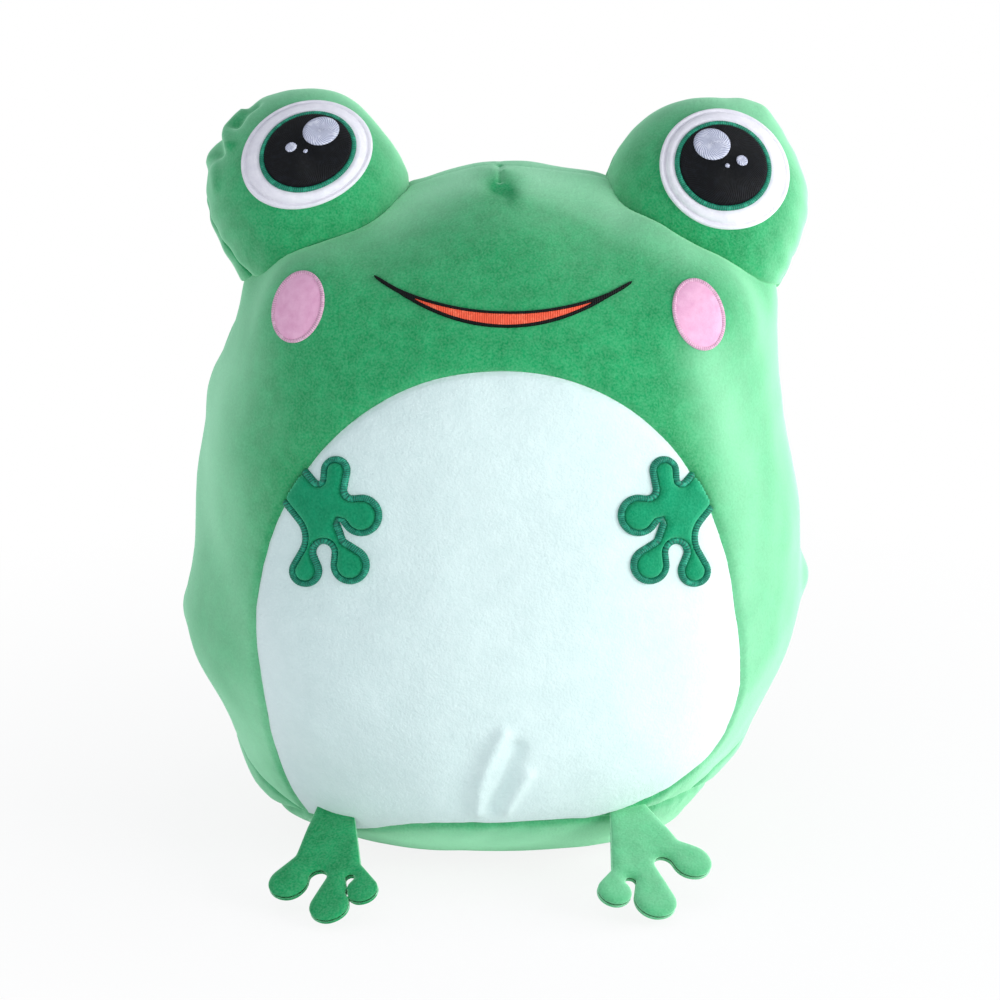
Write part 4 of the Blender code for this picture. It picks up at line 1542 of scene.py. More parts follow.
@dataclass
class Eye:
    """One eye: a felt disc with a stitched edge, a ring, a pupil and three glints."""

    mound: Mound
    # How far the disc stands from the mound's axis, and the ring from the disc's middle
    shift: Pair = (0.0, 0.0)
    ring_shift: Pair = (0.0, 0.0)
    # The disc's long and short sides, as shares of a round one, and the long side's lean
    long_share: float = 1.0
    short_share: float = 1.0
    lean: float = 0.0
    white_radius: float = 0.0236
    ring_radius: float = 0.0172
    ring_width: float = 0.0021
    felt: float = 0.0010
    stitch: float = 0.0008
    glints: tuple[tuple[str, float, Pair], ...] = (
        ("large", 0.0063, (-0.26, 0.47)),
        ("small", 0.0020, (0.39, 0.05)),
        ("tiny", 0.0008, (0.04, -0.09)),
    )
    steps: int = 240
    # The disc's edge: how low it is, how high and over what width it rises
    edge_low: float = 0.25
    edge_rise: float = 0.9
    edge_round: float = 0.0008
    # The row of stitches inside the edge: how far in, how deep and how wide it is
    edge_width: float = 0.0019
    groove_share: float = 0.95
    groove_width: float = 0.00035
    # The felt puffs up between that row and the ring, and lies lower under the ring
    puff_share: float = 0.5
    puff_width: float = 0.0020
    press_reach: Pair = (-0.0012, 0.0002)
    pressed_width: float = 0.0006
    # The ring's height over the felt, its rise, and how much lower every second stitch is
    ring_low: float = 0.9
    ring_rise: float = 1.5
    ring_dent: float = 0.12
    # How far the pupil runs on under the ring, how high its edge lies and how it rises
    pupil_overlap: float = 0.0005
    pupil_low: float = 0.4
    pupil_round: float = 0.0010
    pupil_swell: Swell = Swell(0.00008, 0.0016, 6.0)
    glint_rise: float = 0.7
    glint_round: float = 0.0009
    # Faces across each part's stitches or felt
    white_rows: int = 72
    ring_rows: int = 8
    pupil_rows: int = 24
    glint_rows: int = 8

    def fit(self) -> Matrix:
        """Return what leans and shifts the round eye on the mound's plane.

        Returns:
            The transform.
        """
        lean = Matrix.Rotation(self.lean, 4, "Z")
        sides = Matrix.Diagonal((self.long_share, self.short_share, 1, 1))
        shift = Matrix.Translation((*self.shift, 0))
        return shift @ lean @ sides @ lean.inverted()

    def rim(self, radius: float, place: Pair) -> Rim:
        """Return what gives a round outline at any inset."""
        return lambda inset: oval(radius - inset, radius - inset, self.steps) + place

    def depths(self, shape: BMesh, radius: float, place: Pair) -> np.ndarray:
        """Return how far each vertex lies inside a round rim."""
        return radius - np.linalg.norm(coords(shape)[:, :2] - np.array(place), axis=1)

    def lay(self, shape: BMesh, carrier: Carrier, body: Body) -> None:
        """Lean a finished part with the eye and press it on the mound."""
        bmesh.ops.transform(shape, matrix=self.fit(), verts=shape.verts)
        carrier.press(shape, self.mound.plane(body))

    def build(self, carrier: Carrier, body: Body) -> None:
        """Make the eye on its mound's finished cloth.

        Args:
            carrier: the mound's cloth.
            body: the body that the mound is sewn into.
        """
        label = self.mound.side.label
        self.make_white(carrier, body)
        self.make_ring(carrier, body)
        inner = self.ring_radius - self.ring_width
        pupil_radius = inner + self.pupil_overlap
        rim = self.rim(pupil_radius, self.ring_shift)
        pupil = ribbon(rim, pupil_radius, self.pupil_rows)
        depth = self.depths(pupil, pupil_radius, self.ring_shift)
        low = self.felt + self.pupil_low * self.stitch
        uneven = self.pupil_swell.relief(coords(pupil))
        raise_patch(pupil, low + uneven + self.stitch * rounded(depth, self.pupil_round), 0)
        self.lay(pupil, carrier, body)
        stand_in(f"eye_pupil_{label}", "stitching", pupil, BLACK_THREAD, "thread_black")
        for size, radius, shares in self.glints:
            across = self.ring_shift[0] + self.mound.side.value * inner * shares[0]
            place = (across, self.ring_shift[1] + inner * shares[1])
            glint = ribbon(self.rim(radius, place), radius, self.glint_rows)
            depth = self.depths(glint, radius, place)
            crown = self.glint_rise * rounded(depth, self.glint_round)
            raise_patch(glint, low + self.stitch * (1 + crown), -self.felt)
            self.lay(glint, carrier, body)
            node = f"eye_glint_{size}_{label}"
            stand_in(node, "stitching", glint, GLINT_THREAD, "thread_white")

    def make_white(self, carrier: Carrier, body: Body) -> None:
        """Make the felt disc, drawn in by a row of stitches just inside its edge.

        Args:
            carrier: the mound's finished cloth.
            body: the body that the mound is sewn to.
        """
        label = self.mound.side.label
        rim = self.rim(self.white_radius, (0, 0))
        shape = ribbon(rim, self.white_radius, self.white_rows)
        depth = self.depths(shape, self.white_radius, (0, 0))
        height = self.felt * (self.edge_low + self.edge_rise * rounded(depth, self.edge_round))
        groove = hollow(depth - self.edge_width, self.groove_width)
        height -= self.groove_share * self.felt * groove
        puff = smooth_step(depth, self.edge_width, self.edge_width + self.puff_width)
        # The ring's stitches press the felt down again
        pressed = self.depths(shape, self.ring_radius, self.ring_shift)
        puff *= 1 - smooth_step(pressed, *self.press_reach)
        height += self.puff_share * self.felt * puff
        height -= self.puff_share * self.felt * smooth_step(pressed, 0, self.pressed_width)
        raise_patch(shape, height, TRIM_SINK)
        self.lay(shape, carrier, body)
        piece = stand_in(f"eye_white_{label}", "felt", shape, WHITE_FELT, "felt_white")

    def make_ring(self, carrier: Carrier, body: Body) -> None:
        """Make the satin stitched ring round the pupil.

        Args:
            carrier: the mound's finished cloth.
            body: the body that the mound is sewn to.
        """
        label = self.mound.side.label
        rim = self.rim(self.ring_radius, self.ring_shift)
        shape = ribbon(rim, self.ring_width, self.ring_rows)
        depth = self.depths(shape, self.ring_radius, self.ring_shift)
        crown = satin(shape, depth, self.ring_width, self.ring_dent)
        raise_patch(shape, self.ring_low * self.felt + self.ring_rise * self.stitch * crown, 0)
        self.lay(shape, carrier, body)
        stand_in(f"eye_ring_{label}", "stitching", shape, TEAL_THREAD, "thread_teal")


@dataclass
class MoundCloth:
    """The cloth and stuffing of one eye mound, closed against the head."""

    mound: Mound
    creases: tuple[Crease, ...]
    lumps: tuple[Lump, ...]
    seam: Seam = Seam(0.0008, 0.0013, 0.0008, 0.005, 0.0003)
    # How far the stuffing pushes the cloth out where it is sewn to the head, and how far up
    flare: float = 0.0052
    flare_width: float = 0.008
    root_pucker: float = 0.0003
    # How far the cloth runs on inside the head's own cloth
    tuck: float = 0.0012
    wrinkle_height: float = 0.0003
    # Gathers round the mound, how much they wander and how far from the seam they reach
    wrinkles: int = 22
    wrinkle_wander: Swell = Swell(2.0, 0.015, 9.0)
    wrinkle_reach: float = 0.010
    swell_height: float = 0.0006
    swell_size: float = 0.020
    swell_seed: float = 5.0
    pucker: Swell = Swell(1.0, 0.005, 2.2)
    # Distances out from the middle over which the outer side's relief fades in
    outer_reach: Pair = (-0.010, 0.022)
    # Share of the flare that the inner side keeps
    inner_flare: float = 0.15
    # Depths in front of the side seam over which creases fade in
    crease_front: Pair = (-0.006, 0.003)
    # Share of half a turn round the mound that its cut spans
    wrap: float = 0.8
    # How deep the stuffing lies, and the faces round it and up it
    stuffing_inset: float = 0.0080
    stuffing_faces: tuple[int, int] = (48, 32)
    stuffing_fill: float = 0.85

    def ball(self, body: Body, columns: int, rows: int, inset: float) -> BMesh:
        """Return the mound's closed ball.

        Args:
            body: the body that the mound is sewn to.
            columns: faces round it.
            rows: faces from its back to its front.
            inset: how far it lies inside the mound's own surface.

        Returns:
            The ball.
        """
        shape = bmesh.new()
        bmesh.ops.create_uvsphere(shape, u_segments=columns, v_segments=rows, radius=1)
        wide = self.mound.radius - inset
        deep = self.mound.half_depth - inset
        bmesh.ops.scale(shape, vec=(wide, wide, deep), verts=shape.verts)
        bmesh.ops.transform(shape, matrix=self.mound.plane(body), verts=shape.verts)
        return shape

    def build(self, body: Body, head: Carrier) -> Carrier:
        """Make the front and back cloth and the stuffing.

        Args:
            body: the body that carries the mound.
            head: the body's finished surface.

        Returns:
            The mound's finished surface.
        """
        mound = self.mound
        label = mound.side.label
        coarse = 1
        shape = self.ball(body, mound.columns // coarse, mound.rows // coarse, 0)
        points = coords(shape)
        local = mound.local(points, body)
        out = head.depth(points)
        seed = self.swell_seed + mound.side.value
        total = Swell(self.swell_height, self.swell_size, seed).relief(points)
        pucker = self.pucker.relief(points)
        seam_gap = np.abs(local[:, 2])
        total += self.seam.sunk(seam_gap) + self.seam.gather(seam_gap) * pucker
        outer = smooth_step(mound.side.value * local[:, 0], *self.outer_reach)
        root = np.exp(-np.abs(out) / self.flare_width)
        flare = self.flare * (self.inner_flare + (1 - self.inner_flare) * outer)
        total += root * (self.root_pucker * pucker + flare)
        ahead = smooth_step(local[:, 2], *self.crease_front)
        for crease in self.creases:
            total += crease.relief(local[:, :2]) * ahead
        for lump in self.lumps:
            total += lump.relief(local)
        # Gathers run from the side seam towards the eye, on the outer side
        around = np.arctan2(local[:, 1], local[:, 0])
        rib = np.sin(around * self.wrinkles + self.wrinkle_wander.relief(points))
        near = np.exp(-seam_gap / self.wrinkle_reach)
        total += self.wrinkle_height * rib * outer * near
        place_coords(shape, points + normals(shape) * total[:, None])
        cut_along(shape, local[:, 2], SNAP_SHARE)
        cut_along(shape, head.depth(coords(shape)) + self.tuck, SNAP_SHARE)
        keep_faces(shape, head.depth(face_centres(shape)) > -self.tuck)
        carrier = Carrier(shape)
        centres = mound.local(face_centres(shape), body)
        filling = f"eye_mound_filling_{label}"
        for part, sign in (("front", 1), ("back", -1)):
            half = shape.copy()
            keep_faces(half, centres[:, 2] * sign > 0)
            node = f"eye_mound_{part}_{label}"
            piece = stand_in(node, "cloth", half, GREEN_VELOUR, "velour_green")
            body.thicken(piece)
        shape.free()
        inner = self.ball(body, *self.stuffing_faces, self.stuffing_inset)
        stuffing = new_piece(f"eye_mound_{label}_stuffing", inner, STUFFING.material())
        seat(stuffing, "frog", "polyester_fibre", filling)
        return carrier


# Trims of the face and tummy


@dataclass
class Patch:
    """A patch with a stitched border, sewn on in front."""

    side: Side
    # Where its middle lies on the face plane, as shares of the body's half width and height
    place_shares: Pair
    name: str
    kind: str
    finish: Velour | Felt
    slot: str
    thread: Thread
    thread_slot: str
    height: float
    border: float
    border_rows: int
    # The border's height at its edges, and how much lower every second stitch is
    border_low: float
    border_dent: float
    # Share of the border's width that the patch leaves free
    border_cover: float
    # The patch's height at its edge, its rise and how far in it rises
    low: float
    rise: float
    edge_round: float
    # Depths inside the patch's outline that get edges
    levels: tuple[float, ...]
    spacing: float = 0.0007

    def rim(self, body: Body) -> Rim:
        """Return what gives the outline on the face plane at any inset."""
        raise NotImplementedError

    def trim(self, shape: BMesh, body: Body) -> None:
        """Cut a flat part off at a seam. A patch that crosses none stays whole."""

    def build(self, carrier: Carrier, body: Body) -> Object:
        """Make the border and the patch.

        Args:
            carrier: the body's finished cloth.
            body: the body that the patch is sewn to.

        Returns:
            The patch.
        """
        label = self.side.label
        rim = self.rim(body)
        edge = ribbon(rim, self.border, self.border_rows)
        self.trim(edge, body)
        depth = depth_inside(coords(edge)[:, :2], rim(0))
        crown = satin(edge, depth, self.border, self.border_dent)
        rise = 1 - self.border_low
        raise_patch(edge, self.height * (self.border_low + rise * crown), TRIM_SINK)
        carrier.press(edge, FACE)
        node = f"{self.name}_border_{label}"
        stand_in(node, "stitching", edge, self.thread, self.thread_slot)
        inner = rim(self.border * self.border_cover)
        patch = flat_patch(inner, self.spacing, self.levels)
        self.trim(patch, body)
        depth = depth_inside(coords(patch)[:, :2], inner)
        crown = rounded(depth, self.edge_round)
        raise_patch(patch, self.height * (self.low + self.rise * crown), TRIM_SINK)
        carrier.press(patch, FACE)
        return stand_in(f"{self.name}_{label}", self.kind, patch, self.finish, self.slot)


@dataclass
class Cheek(Patch):
    """One pink felt cheek and the zigzag stitching round it."""

    name: str = "cheek"
    kind: str = "felt"
    finish: Felt = PINK_FELT
    slot: str = "felt_pink"
    thread: Thread = PINK_THREAD
    thread_slot: str = "thread_pink"
    height: float = 0.0010
    border: float = 0.0014
    border_rows: int = 6
    border_low: float = 0.3
    border_dent: float = 0.3
    border_cover: float = 0.6
    low: float = 0.3
    rise: float = 0.5
    edge_round: float = 0.004
    levels: tuple[float, ...] = (0.0, 0.0006, 0.0015)
    half_width: float = 0.0090
    half_height: float = 0.0130
    lean: float = math.radians(16)
    steps: int = 200

    def rim(self, body: Body) -> Rim:
        """Return what gives the cheek's outline at any inset.

        Args:
            body: the body that the cheek is sewn to.

        Returns:
            A function of the inset.
        """
        across, up = self.place_shares
        place = np.array([body.half_width * across, body.height * up])
        lean = self.lean * self.side.value
        wide, high = self.half_width, self.half_height
        return lambda inset: oval(wide - inset, high - inset, self.steps, lean) + place

    def build(self, carrier: Carrier, body: Body) -> Object:
        """Make the cheek."""
        piece = super().build(carrier, body)
        return piece


@dataclass
class Mouth:
    """The embroidered smile: a black line round a red filling, drawn out into two tails."""

    half_width: float = 0.0455
    # How far its middle hangs below its ends, and how round it hangs
    drop: float = 0.0145
    power: float = 2.07
    # How much lower the right end lies than the middle of the two ends
    tilt: float = 0.0010
    # Thickness of the tails, and what the open part adds over a share of the width
    tail: float = 0.0016
    lens: float = 0.0042
    lens_share: float = 0.82
    # Thickness of the black line in the middle, and its growth towards the ends
    line: float = 0.0011
    line_growth: float = 0.0005
    place: Pair = (0.0011, 0.1930)
    columns: int = 220
    across: int = 8
    height: float = 0.0010
    # How blunt the two ends are
    end_power: int = 24
    # The line's height at its edges, and the filling's height
    line_low: float = 0.25
    filling_height: float = 0.6

    def middle(self, share: np.ndarray) -> np.ndarray:
        """Return the height of the smile's middle line at shares of the half width."""
        return -self.drop * (1 - np.abs(share) ** self.power) - self.tilt * share

    def reach(self, share: np.ndarray) -> np.ndarray:
        """Return half of the smile's thickness at shares of the half width."""
        lens = self.lens * np.maximum(1 - (share / self.lens_share) ** 2, 0)
        end = np.sqrt(np.maximum(1 - np.abs(share) ** self.end_power, 0))
        return (self.tail + lens) / 2 * end

    def opening(self, share: np.ndarray, overlap: float) -> np.ndarray:
        """Return half of the thickness between the black lines, with an overlap."""
        line = self.line + self.line_growth * np.abs(share)
        return np.maximum(self.reach(share) - line + overlap, 0)

    def strip(
        self,
        low: Callable[[np.ndarray], np.ndarray],
        high: Callable[[np.ndarray], np.ndarray],
    ) -> BMesh:
        """Return a flat strip across the mouth between two edges, merged where they meet.

        Args:
            low: gives the lower edge's height at places across.
            high: gives the upper edge's height there.

        Returns:
            The strip.
        """
        shape = bmesh.new()
        bmesh.ops.create_grid(shape, x_segments=self.columns, y_segments=self.across, size=0.5)
        grid = coords(shape)
        share = np.sin(math.pi * grid[:, 0])
        up = grid[:, 1] + 0.5
        y = self.middle(share) + low(share) + (high(share) - low(share)) * up
        flat = np.column_stack([self.half_width * share, y]) + np.array(self.place)
        place_coords(shape, np.column_stack([flat, np.zeros(len(flat))]))
        map_flat(shape)
        return shape

    def build(self, carrier: Carrier) -> None:
        """Make the smile on the body's cloth.

        Args:
            carrier: the body's finished cloth.
        """
        line = self.strip(lambda share: -self.reach(share), lambda share: -self.opening(share, 0))
        upper = self.strip(lambda share: self.opening(share, 0), self.reach)
        spare = bpy.data.meshes.new("mouth_strip")
        upper.to_mesh(spare)
        upper.free()
        line.from_mesh(spare)
        bpy.data.meshes.remove(spare)
        bmesh.ops.remove_doubles(line, verts=line.verts, dist=1e-6)
        points = coords(line)[:, :2] - np.array(self.place)
        share = np.clip(points[:, 0] / self.half_width, -1, 1)
        off = np.abs(points[:, 1] - self.middle(share))
        opening = self.opening(share, 0)
        outer = self.reach(share) - off
        depth = np.where(opening > 0, np.minimum(outer, np.maximum(off - opening, 0)), outer)
        crown = rounded(depth, self.line / 2)
        height = self.height * (self.line_low + (1 - self.line_low) * crown)
        raise_patch(line, height, TRIM_SINK)
        carrier.press(line, FACE)
        stand_in("mouth_line", "stitching", line, LINE_THREAD, "thread_black")
        overlap = self.line / 3
        filling = self.strip(
            lambda share: -self.opening(share, overlap),
            lambda share: self.opening(share, overlap),
        )
        bmesh.ops.remove_doubles(filling, verts=filling.verts, dist=1e-6)
        height = np.full(len(filling.verts), self.filling_height * self.height)
        raise_patch(filling, height, TRIM_SINK)
        carrier.press(filling, FACE)
        stand_in("mouth_filling", "stitching", filling, RED_THREAD, "thread_red")


@dataclass
class Hand(Patch):
    """One padded velour hand with a thick satin border, sewn on at the tummy seam."""

    place_shares: Pair = (0.574, 0.447)
    name: str = "hand"
    kind: str = "cloth"
    finish: Velour = HAND_VELOUR
    slot: str = "velour_green"
    thread: Thread = TEAL_THREAD
    thread_slot: str = "thread_teal"
    height: float = 0.0019
    border: float = 0.0023
    border_rows: int = 8
    border_low: float = 0.2
    border_dent: float = 0.14
    border_cover: float = 0.92
    low: float = 0.1
    rise: float = 0.95
    edge_round: float = 0.0026
    levels: tuple[float, ...] = (0.0, 0.0004, 0.0010, 0.0020)
    fill: float = 0.5
    length: float = 0.0475
    outline_step: float = 0.0005
    # Across, up, radius and kind of each round, as shares of the hand
    round_shares: tuple[Round, ...] = (
        (-0.215, 0.085, 0.050, 1),
        (-0.285, -0.187, 0.174, -1),
        (-0.089, -0.437, 0.121, 1),
        (0.048, -0.297, 0.060, -1),
        (0.243, -0.393, 0.144, 1),
        (0.222, -0.192, 0.015, -1),
        (0.169, -0.077, 0.004, -1),
        (0.327, -0.025, 0.154, 1),
        (0.262, 0.165, 0.042, -1),
        (0.138, 0.308, 0.107, 1),
        (0.010, 0.246, 0.016, -1),
        (-0.150, 0.330, 0.050, 1),
        (-0.300, 0.230, 0.050, 1),
    )

    def rim(self, body: Body) -> Rim:
        """Return what gives the hand's outline at any inset.

        Args:
            body: the body that the hand is sewn to.

        Returns:
            A function of the inset.
        """
        rounds = [
            (self.length * x, self.length * y, self.length * radius, kind)
            for x, y, radius, kind in self.round_shares
        ]
        sign = self.side.value
        across = sign * body.half_width * self.place_shares[0]
        up = body.height * self.place_shares[1]

        def outline(inset: float) -> np.ndarray:
            """Return the outline moved in by inset."""
            points = belt(rounds, inset, self.outline_step)
            return np.column_stack([across - sign * points[:, 0], up + points[:, 1]])

        return outline

    def trim(self, shape: BMesh, body: Body) -> None:
        """Cut a flat part off just inside the tummy's seam."""
        seam = body.tummy_outline()
        cut_along(shape, depth_inside(coords(shape)[:, :2], seam) - 2 * SEAM_GAP)
        keep_faces(shape, depth_inside(face_centres(shape)[:, :2], seam) > 2 * SEAM_GAP)

    def build(self, carrier: Carrier, body: Body) -> Object:
        """Make the hand."""
        piece = super().build(carrier, body)
        return piece


# Feet


# The outlines differ, because each foot was turned inside out and stuffed by hand
FOOT_ROUNDS = {
    Side.LEFT: (
        (12.4, 23.0, 3.0, -1),
        (6.8, 35.2, 7.3, 1),
        (-3.0, 30.8, 3.3, -1),
        (-12.8, 42.0, 7.2, 1),
        (-14.8, 28.4, 1.7, -1),
        (-21.4, 32.2, 5.8, 1),
        (-17.9, 19.4, 2.8, -1),
    ),
    Side.RIGHT: (
        (19.2, 15.5, 3.2, -1),
        (17.2, 27.5, 7.2, 1),
        (6.3, 26.6, 3.6, -1),
        (-4.2, 41.5, 7.7, 1),
        (-9.4, 31.3, 2.0, -1),
        (-17.1, 34.0, 6.2, 1),
        (-15.6, 22.6, 2.5, -1),
    ),
}


@dataclass
class Foot:
    """One padded three-toed foot, sewn into the base seam along its root."""

    side: Side
    # Across (towards the outer toe), along, radius and kind, in millimetres from the hinge
    rounds: tuple[Round, ...]
    # Share of painted light on its pile: painted sheen when positive, painted shade when negative
    brushed: float
    root_middle: float = 0.0052
    root_half_width: float = 0.0072
    root_corner: float = 0.0022
    slope: float = math.radians(28)
    thickness: float = 0.0036
    # How far the root runs on inside the seam
    tuck: float = 0.0035
    spacing: float = 0.0008
    levels: tuple[float, ...] = (0.0, 0.0002, 0.0006, 0.0012, 0.0022)
    outline_step: float = 0.0006
    # How high the cloth stands at its rim, its rise and how far in it rises
    rim_low: float = 0.45
    rim_rise: float = 0.75
    rim_round: float = 0.0040
    # Distances along the foot over which the flat root swells, and the root's thickness
    root_reach: Pair = (-0.001, 0.012)
    root_share: float = 0.55
    swell_height: float = 0.0003
    swell_size: float = 0.008
    swell_seed: float = 4.0
    # Distances along the foot between which its cloth bends with the hinge
    bend: Pair = (-0.0015, 0.0030)
    # How far and how wide the rims are drawn in where the two cloths meet
    seam_depth: float = 0.0007
    seam_width: float = 0.1 * MM
    # Distance over which the way to the rim is measured
    probe: float = 0.05 * MM
    fill: float = 0.4

    @property
    def body(self) -> str:
        """Return the name of the CAD body that the foot is."""
        return f"foot_{self.side.label}"

    def plane(self) -> Matrix:
        """Return the foot's frame: X along its hinge, Y to its toes, Z out of its top.

        Returns:
            The frame.
        """
        joint = next(item for item in frame["joints"] if item["child"] == self.body)
        hinge = Vector(joint["axis"]).normalized()
        outward = Vector((0, 0, 1)).cross(hinge)
        toes = outward * math.cos(self.slope) - Vector((0, 0, math.sin(self.slope)))
        turn = Matrix((hinge, toes, hinge.cross(toes))).transposed()
        return Matrix.Translation(joint["pos_m"]) @ turn.to_4x4()

    def outline(self, plane: Matrix) -> np.ndarray:
        """Return the foot's outline on its plane.

        Args:
            plane: the foot's frame.

        Returns:
            The points, one a row.
        """
        outer = 1 if plane.col[0].x * self.side.value > 0 else -1
        root = self.root_half_width - self.root_corner
        low = self.root_corner - self.tuck
        rounds = [
            (self.root_middle - root, low, self.root_corner, 1),
            (self.root_middle + root, low, self.root_corner, 1),
        ]
        rounds += [(x * MM, y * MM, radius * MM, kind) for x, y, radius, kind in self.rounds]
        points = belt(rounds, 0, self.outline_step)
        if outer < 0:
            points = (points * (-1, 1))[::-1]
        return points

    def build(self) -> None:
        """Make the upper cloth and the sole. The upper cloth stands for the wadding too."""
        plane = self.plane()
        outline = self.outline(plane)
        label = self.side.label
        half = self.thickness / 2
        green = GREEN_VELOUR.material()
        for part, sign in (("upper", 1), ("sole", -1)):
            shape = flat_patch(outline, self.spacing, self.levels)
            points = coords(shape)
            depth = depth_inside(points[:, :2], outline)
            slack = smooth_step(points[:, 1], *self.root_reach)
            crown = self.rim_low + self.rim_rise * rounded(depth, self.rim_round)
            swell = half * crown * (self.root_share + (1 - self.root_share) * slack)
            uneven = Swell(self.swell_height, self.swell_size, self.swell_seed + sign)
            swell += uneven.relief(points) * slack
            # Painted light: the whole foot carries its share of painted sheen, which is negative for painted
            # shade
            brush(shape, np.full(len(points), self.brushed))
            raise_patch(shape, swell, 0)
            self.tuck_seam(shape, outline)
            if sign < 0:
                bmesh.ops.scale(shape, vec=(1, 1, -1), verts=shape.verts)
            bmesh.ops.translate(shape, vec=(0, 0, -half), verts=shape.verts)
            bmesh.ops.transform(shape, matrix=plane, verts=shape.verts)
            bmesh.ops.recalc_face_normals(shape, faces=shape.faces)
            nodes = [f"foot_{part}_{label}"]
            if part == "upper":
                nodes.append(f"foot_wadding_{label}")
            piece = new_piece(f"foot_{part}_{label}_cloth", shape, green)
            start, end = (tuple(plane @ Vector((0, along, 0))) for along in self.bend)
            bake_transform(piece, "frog", self.body, start=start, end=end)
            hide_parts(*nodes)
            LOG.info("%s: %d faces", piece.name, len(piece.data.polygons))

    def tuck_seam(self, shape: BMesh, outline: np.ndarray) -> None:
        """Draw a cloth's lower rim in, so that a groove runs between the two cloths.

        Args:
            shape: one of the foot's cloths.
            outline: the foot's outline.
        """
        shape.verts.ensure_lookup_table()
        points = coords(shape)
        flat = points[:, :2]
        depth = depth_inside(flat, outline)
        slope_x = depth_inside(flat + (self.probe, 0), outline) - depth
        slope_y = depth_inside(flat + (0, self.probe), outline) - depth
        slope = np.column_stack([slope_x, slope_y])
        slope /= np.maximum(np.linalg.norm(slope, axis=1, keepdims=True), 1e-9)
        low_rim = (points[:, 2] < 1e-6) & (depth < self.seam_width)
        points[:, :2] = flat + slope * np.where(low_rim, self.seam_depth, 0)[:, None]
        place_coords(shape, points)


# Studio


@dataclass(frozen=True)
class Lamp:
    """One square soft light: its power, its size and where it stands."""

    name: str
    energy: float
    size: float
    place: tuple[float, float, float]


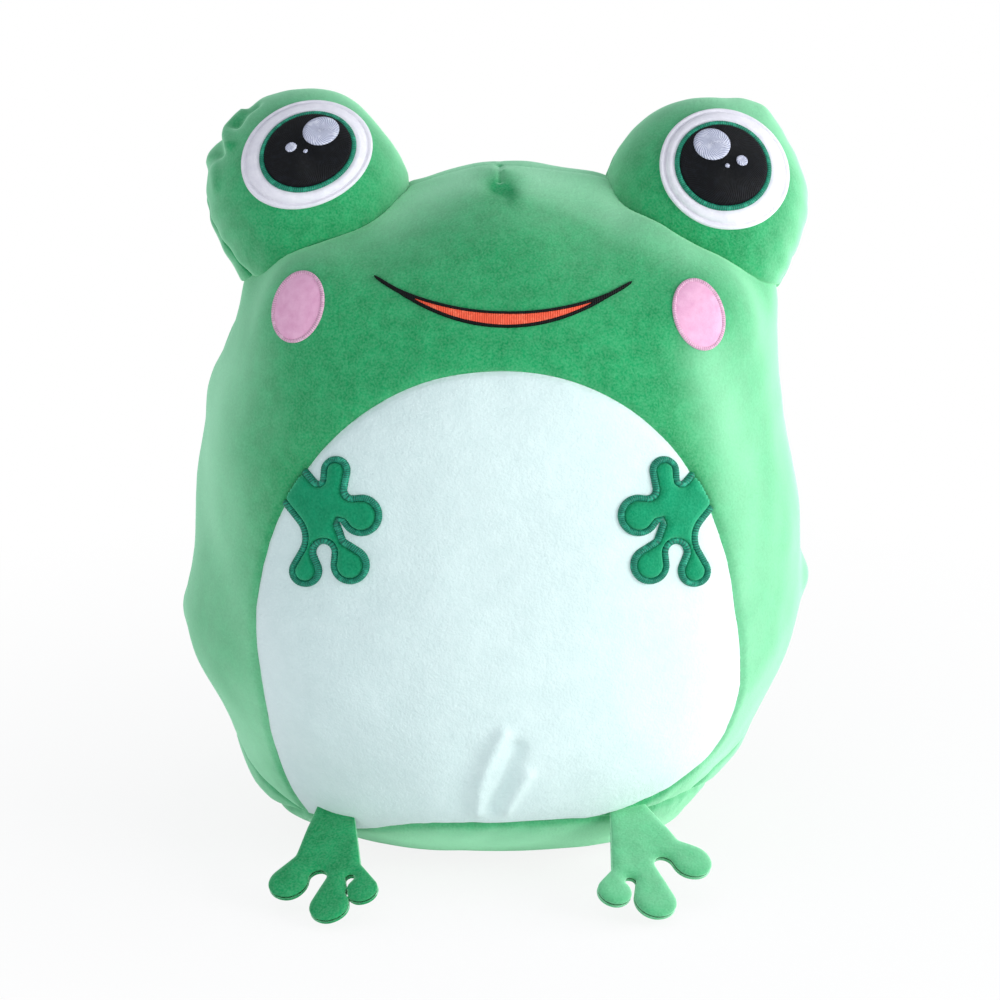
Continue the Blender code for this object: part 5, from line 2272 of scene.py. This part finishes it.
@dataclass
class Studio:
    """The floor, the lights and the camera at the photograph's angle."""

    camera_distance: float = 4.0
    lens: float = 400.0
    sensor: float = 36.0
    aim_height: float = 0.11
    aim_lift: float = 0.0117
    floor_size: float = 30.0
    # Past this distance the floor is plain white to the camera
    shadow_reach: float = 0.34
    # Share of plain white in the floor under the frog
    floor_white: float = 0.87
    world_strength: float = 0.65
    world_colour: str = "#f2f5ff"
    floor_colour: str = "#f4f4f4"
    lamps: tuple[Lamp, ...] = (
        Lamp("key_light", 11.8, 0.7, (1.2, -0.7, 0.5)),
        Lamp("fill_light", 1.6, 1.0, (-0.8, -1.3, 0.25)),
        Lamp("side_light", 9.0, 0.9, (1.3, 0.25, 0.3)),
        Lamp("low_light", 3.0, 0.4, (-0.2, -1.1, 0.04)),
    )

    def build(self) -> None:
        """Set up everything round the frog."""
        self.make_camera()
        self.make_floor()
        self.make_world()
        for lamp in self.lamps:
            self.make_lamp(lamp)
        bpy.context.scene.view_settings.view_transform = "Standard"

    def make_camera(self) -> None:
        """Place the camera in front, 20 degrees above level, with a long lens."""
        data = bpy.data.cameras.new("camera")
        data.lens = self.lens
        data.sensor_width = self.sensor
        data.clip_end = 100
        camera = bpy.data.objects.new("camera", data)
        back = Vector((0, -math.cos(FACE_LEAN), math.sin(FACE_LEAN)))
        up = Vector((0, math.sin(FACE_LEAN), math.cos(FACE_LEAN)))
        aim = Vector((0, 0, self.aim_height)) + up * self.aim_lift
        camera.location = aim + back * self.camera_distance
        camera.rotation_euler = (-back).to_track_quat("-Z", "Y").to_euler()
        bpy.context.scene.collection.objects.link(camera)
        bpy.context.scene.camera = camera

    def make_lamp(self, lamp: Lamp) -> None:
        """Place one light so that it shines on the frog's middle.

        Args:
            lamp: the light.
        """
        data = bpy.data.lights.new(lamp.name, "AREA")
        data.energy = lamp.energy
        data.size = lamp.size
        light = bpy.data.objects.new(lamp.name, data)
        light.location = lamp.place
        towards = Vector((0, 0, self.aim_height)) - Vector(lamp.place)
        light.rotation_euler = towards.to_track_quat("-Z", "Y").to_euler()
        bpy.context.scene.collection.objects.link(light)

    def shown(self, tree: NodeTree) -> NodeSocket:
        """Return what is 1 where the camera sees a surface, also in gloss or through glass.

        Args:
            tree: the world's nodes.

        Returns:
            The value's socket.
        """
        camera_ray = add_node(tree, "LightPath", "Is Camera Ray")
        rays = camera_ray.node.outputs
        seen = {0: camera_ray, 1: rays["Is Glossy Ray"]}
        either = add_node(tree, "Math", "Value", links=seen, operation="MAXIMUM")
        seen = {0: either, 1: rays["Is Transmission Ray"]}
        return add_node(tree, "Math", "Value", links=seen, operation="MAXIMUM")

    def make_floor(self) -> None:
        """Make the pale floor, white to the camera apart from the frog's shadow."""
        shape = bmesh.new()
        bmesh.ops.create_grid(shape, x_segments=1, y_segments=1, size=self.floor_size / 2)
        constants = {
            "Base Color": linear(self.floor_colour),
            "Roughness": 1.0,
            "Specular IOR Level": 0.0,
        }
        made, tree, shader = new_material("pale_studio_paper", constants)
        place = add_node(tree, "TexCoord", "Object")
        far = add_node(tree, "VectorMath", "Value", links={0: place}, operation="LENGTH")
        limits = {
            "From Min": self.shadow_reach / 3,
            "From Max": self.shadow_reach,
            "To Min": self.floor_white,
            "To Max": 1.0,
        }
        clean = add_node(tree, "MapRange", "Result", limits, {"Value": far})
        both = {0: self.shown(tree), 1: clean}
        share = add_node(tree, "Math", "Value", links=both, operation="MULTIPLY")
        glow = add_node(tree, "Emission", "Emission", {"Strength": 1.0})
        paper = {0: share, 1: shader.outputs["BSDF"], 2: glow}
        mixed = add_node(tree, "MixShader", "Shader", links=paper)
        tree.links.new(mixed, tree.nodes["Material Output"].inputs["Surface"])
        new_piece("floor", shape, made)

    def make_world(self) -> None:
        """Light the room evenly, and show white to the camera."""
        world = bpy.data.worlds.new("white_room")
        world.use_nodes = True
        tree = world.node_tree
        room = tree.nodes["Background"]
        room.inputs["Color"].default_value = linear(self.world_colour)
        room.inputs["Strength"].default_value = self.world_strength
        plain = {"Color": (1, 1, 1, 1), "Strength": 1.0}
        white = add_node(tree, "Background", "Background", plain)
        views = {0: self.shown(tree), 1: room.outputs["Background"], 2: white}
        mixed = add_node(tree, "MixShader", "Shader", links=views)
        tree.links.new(mixed, tree.nodes["World Output"].inputs["Surface"])
        bpy.context.scene.world = world


def main() -> None:
    """Dress the whole frog and set the studio round it."""
    logging.basicConfig(level=logging.INFO, format="%(name)s %(message)s")
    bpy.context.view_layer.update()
    Studio().build()
    mounds = [
        Mound(Side.LEFT, (-0.614, 0.914), math.radians(-1), math.radians(23)),
        Mound(Side.RIGHT, (0.660, 0.900), math.radians(11), math.radians(18)),
    ]
    body = Body()
    skin = body.build(mounds)
    left_creases = (
        Crease(((-0.0232, 0.0242), (-0.0284, 0.0176), (-0.0285, 0.0130), (-0.0272, 0.0080)),
               0.0019, 0.0021),
        Crease(((-0.0308, 0.0200), (-0.0316, 0.0120), (-0.0305, 0.0060)), 0.0016, -0.0019),
        Crease(((-0.0326, 0.0158), (-0.0346, 0.0080)), 0.0018, 0.0014),
        Crease(((-0.0186, 0.0256), (-0.0222, 0.0226), (-0.0252, 0.0170)), 0.0017, -0.0020),
        Crease(((-0.0330, 0.0020), (-0.0322, -0.0060)), 0.0016, 0.0008),
    )
    left_lumps = (
        Lump((0.0270, 0.0200, 0.0), 0.0120, -0.0052),
        Lump((-0.0264, 0.0240, 0.0), 0.0080, -0.0030),
        Lump((-0.0140, 0.0330, 0.0), 0.0080, 0.0012),
    )
    right_creases = (Crease(((0.0270, 0.0330), (0.0305, 0.0220)), 0.0018, -0.0011),)
    right_lumps = (
        Lump((0.0190, 0.0310, 0.0), 0.0110, 0.0046),
        Lump((0.0310, 0.0080, 0.0), 0.0100, -0.0012),
    )
    left_cloth = MoundCloth(mounds[0], left_creases, left_lumps).build(body, skin)
    right_cloth = MoundCloth(mounds[1], right_creases, right_lumps).build(body, skin)
    Eye(
        mounds[0],
        shift=(0.0005, 0.0016),
        ring_shift=(0.0005, -0.0007),
        long_share=1.034,
        short_share=0.855,
        lean=math.radians(34.7),
    ).build(left_cloth, body)
    Eye(
        mounds[1], shift=(0.0018, 0.0021), ring_shift=(-0.0014, -0.0002), short_share=0.98
    ).build(right_cloth, body)
    Cheek(Side.LEFT, (-0.636, 0.739)).build(skin, body)
    Cheek(Side.RIGHT, (0.626, 0.728)).build(skin, body)
    Mouth().build(skin)
    for side in Side:
        Hand(side).build(skin, body)
    # Painted light: the left foot lies in the body's shadow and gets painted shade; the right foot faces the
    # light and gets painted sheen
    Foot(Side.LEFT, FOOT_ROUNDS[Side.LEFT], brushed=-0.20).build()
    Foot(Side.RIGHT, FOOT_ROUNDS[Side.RIGHT], brushed=0.15).build()


if __name__ == "__main__":
    main()
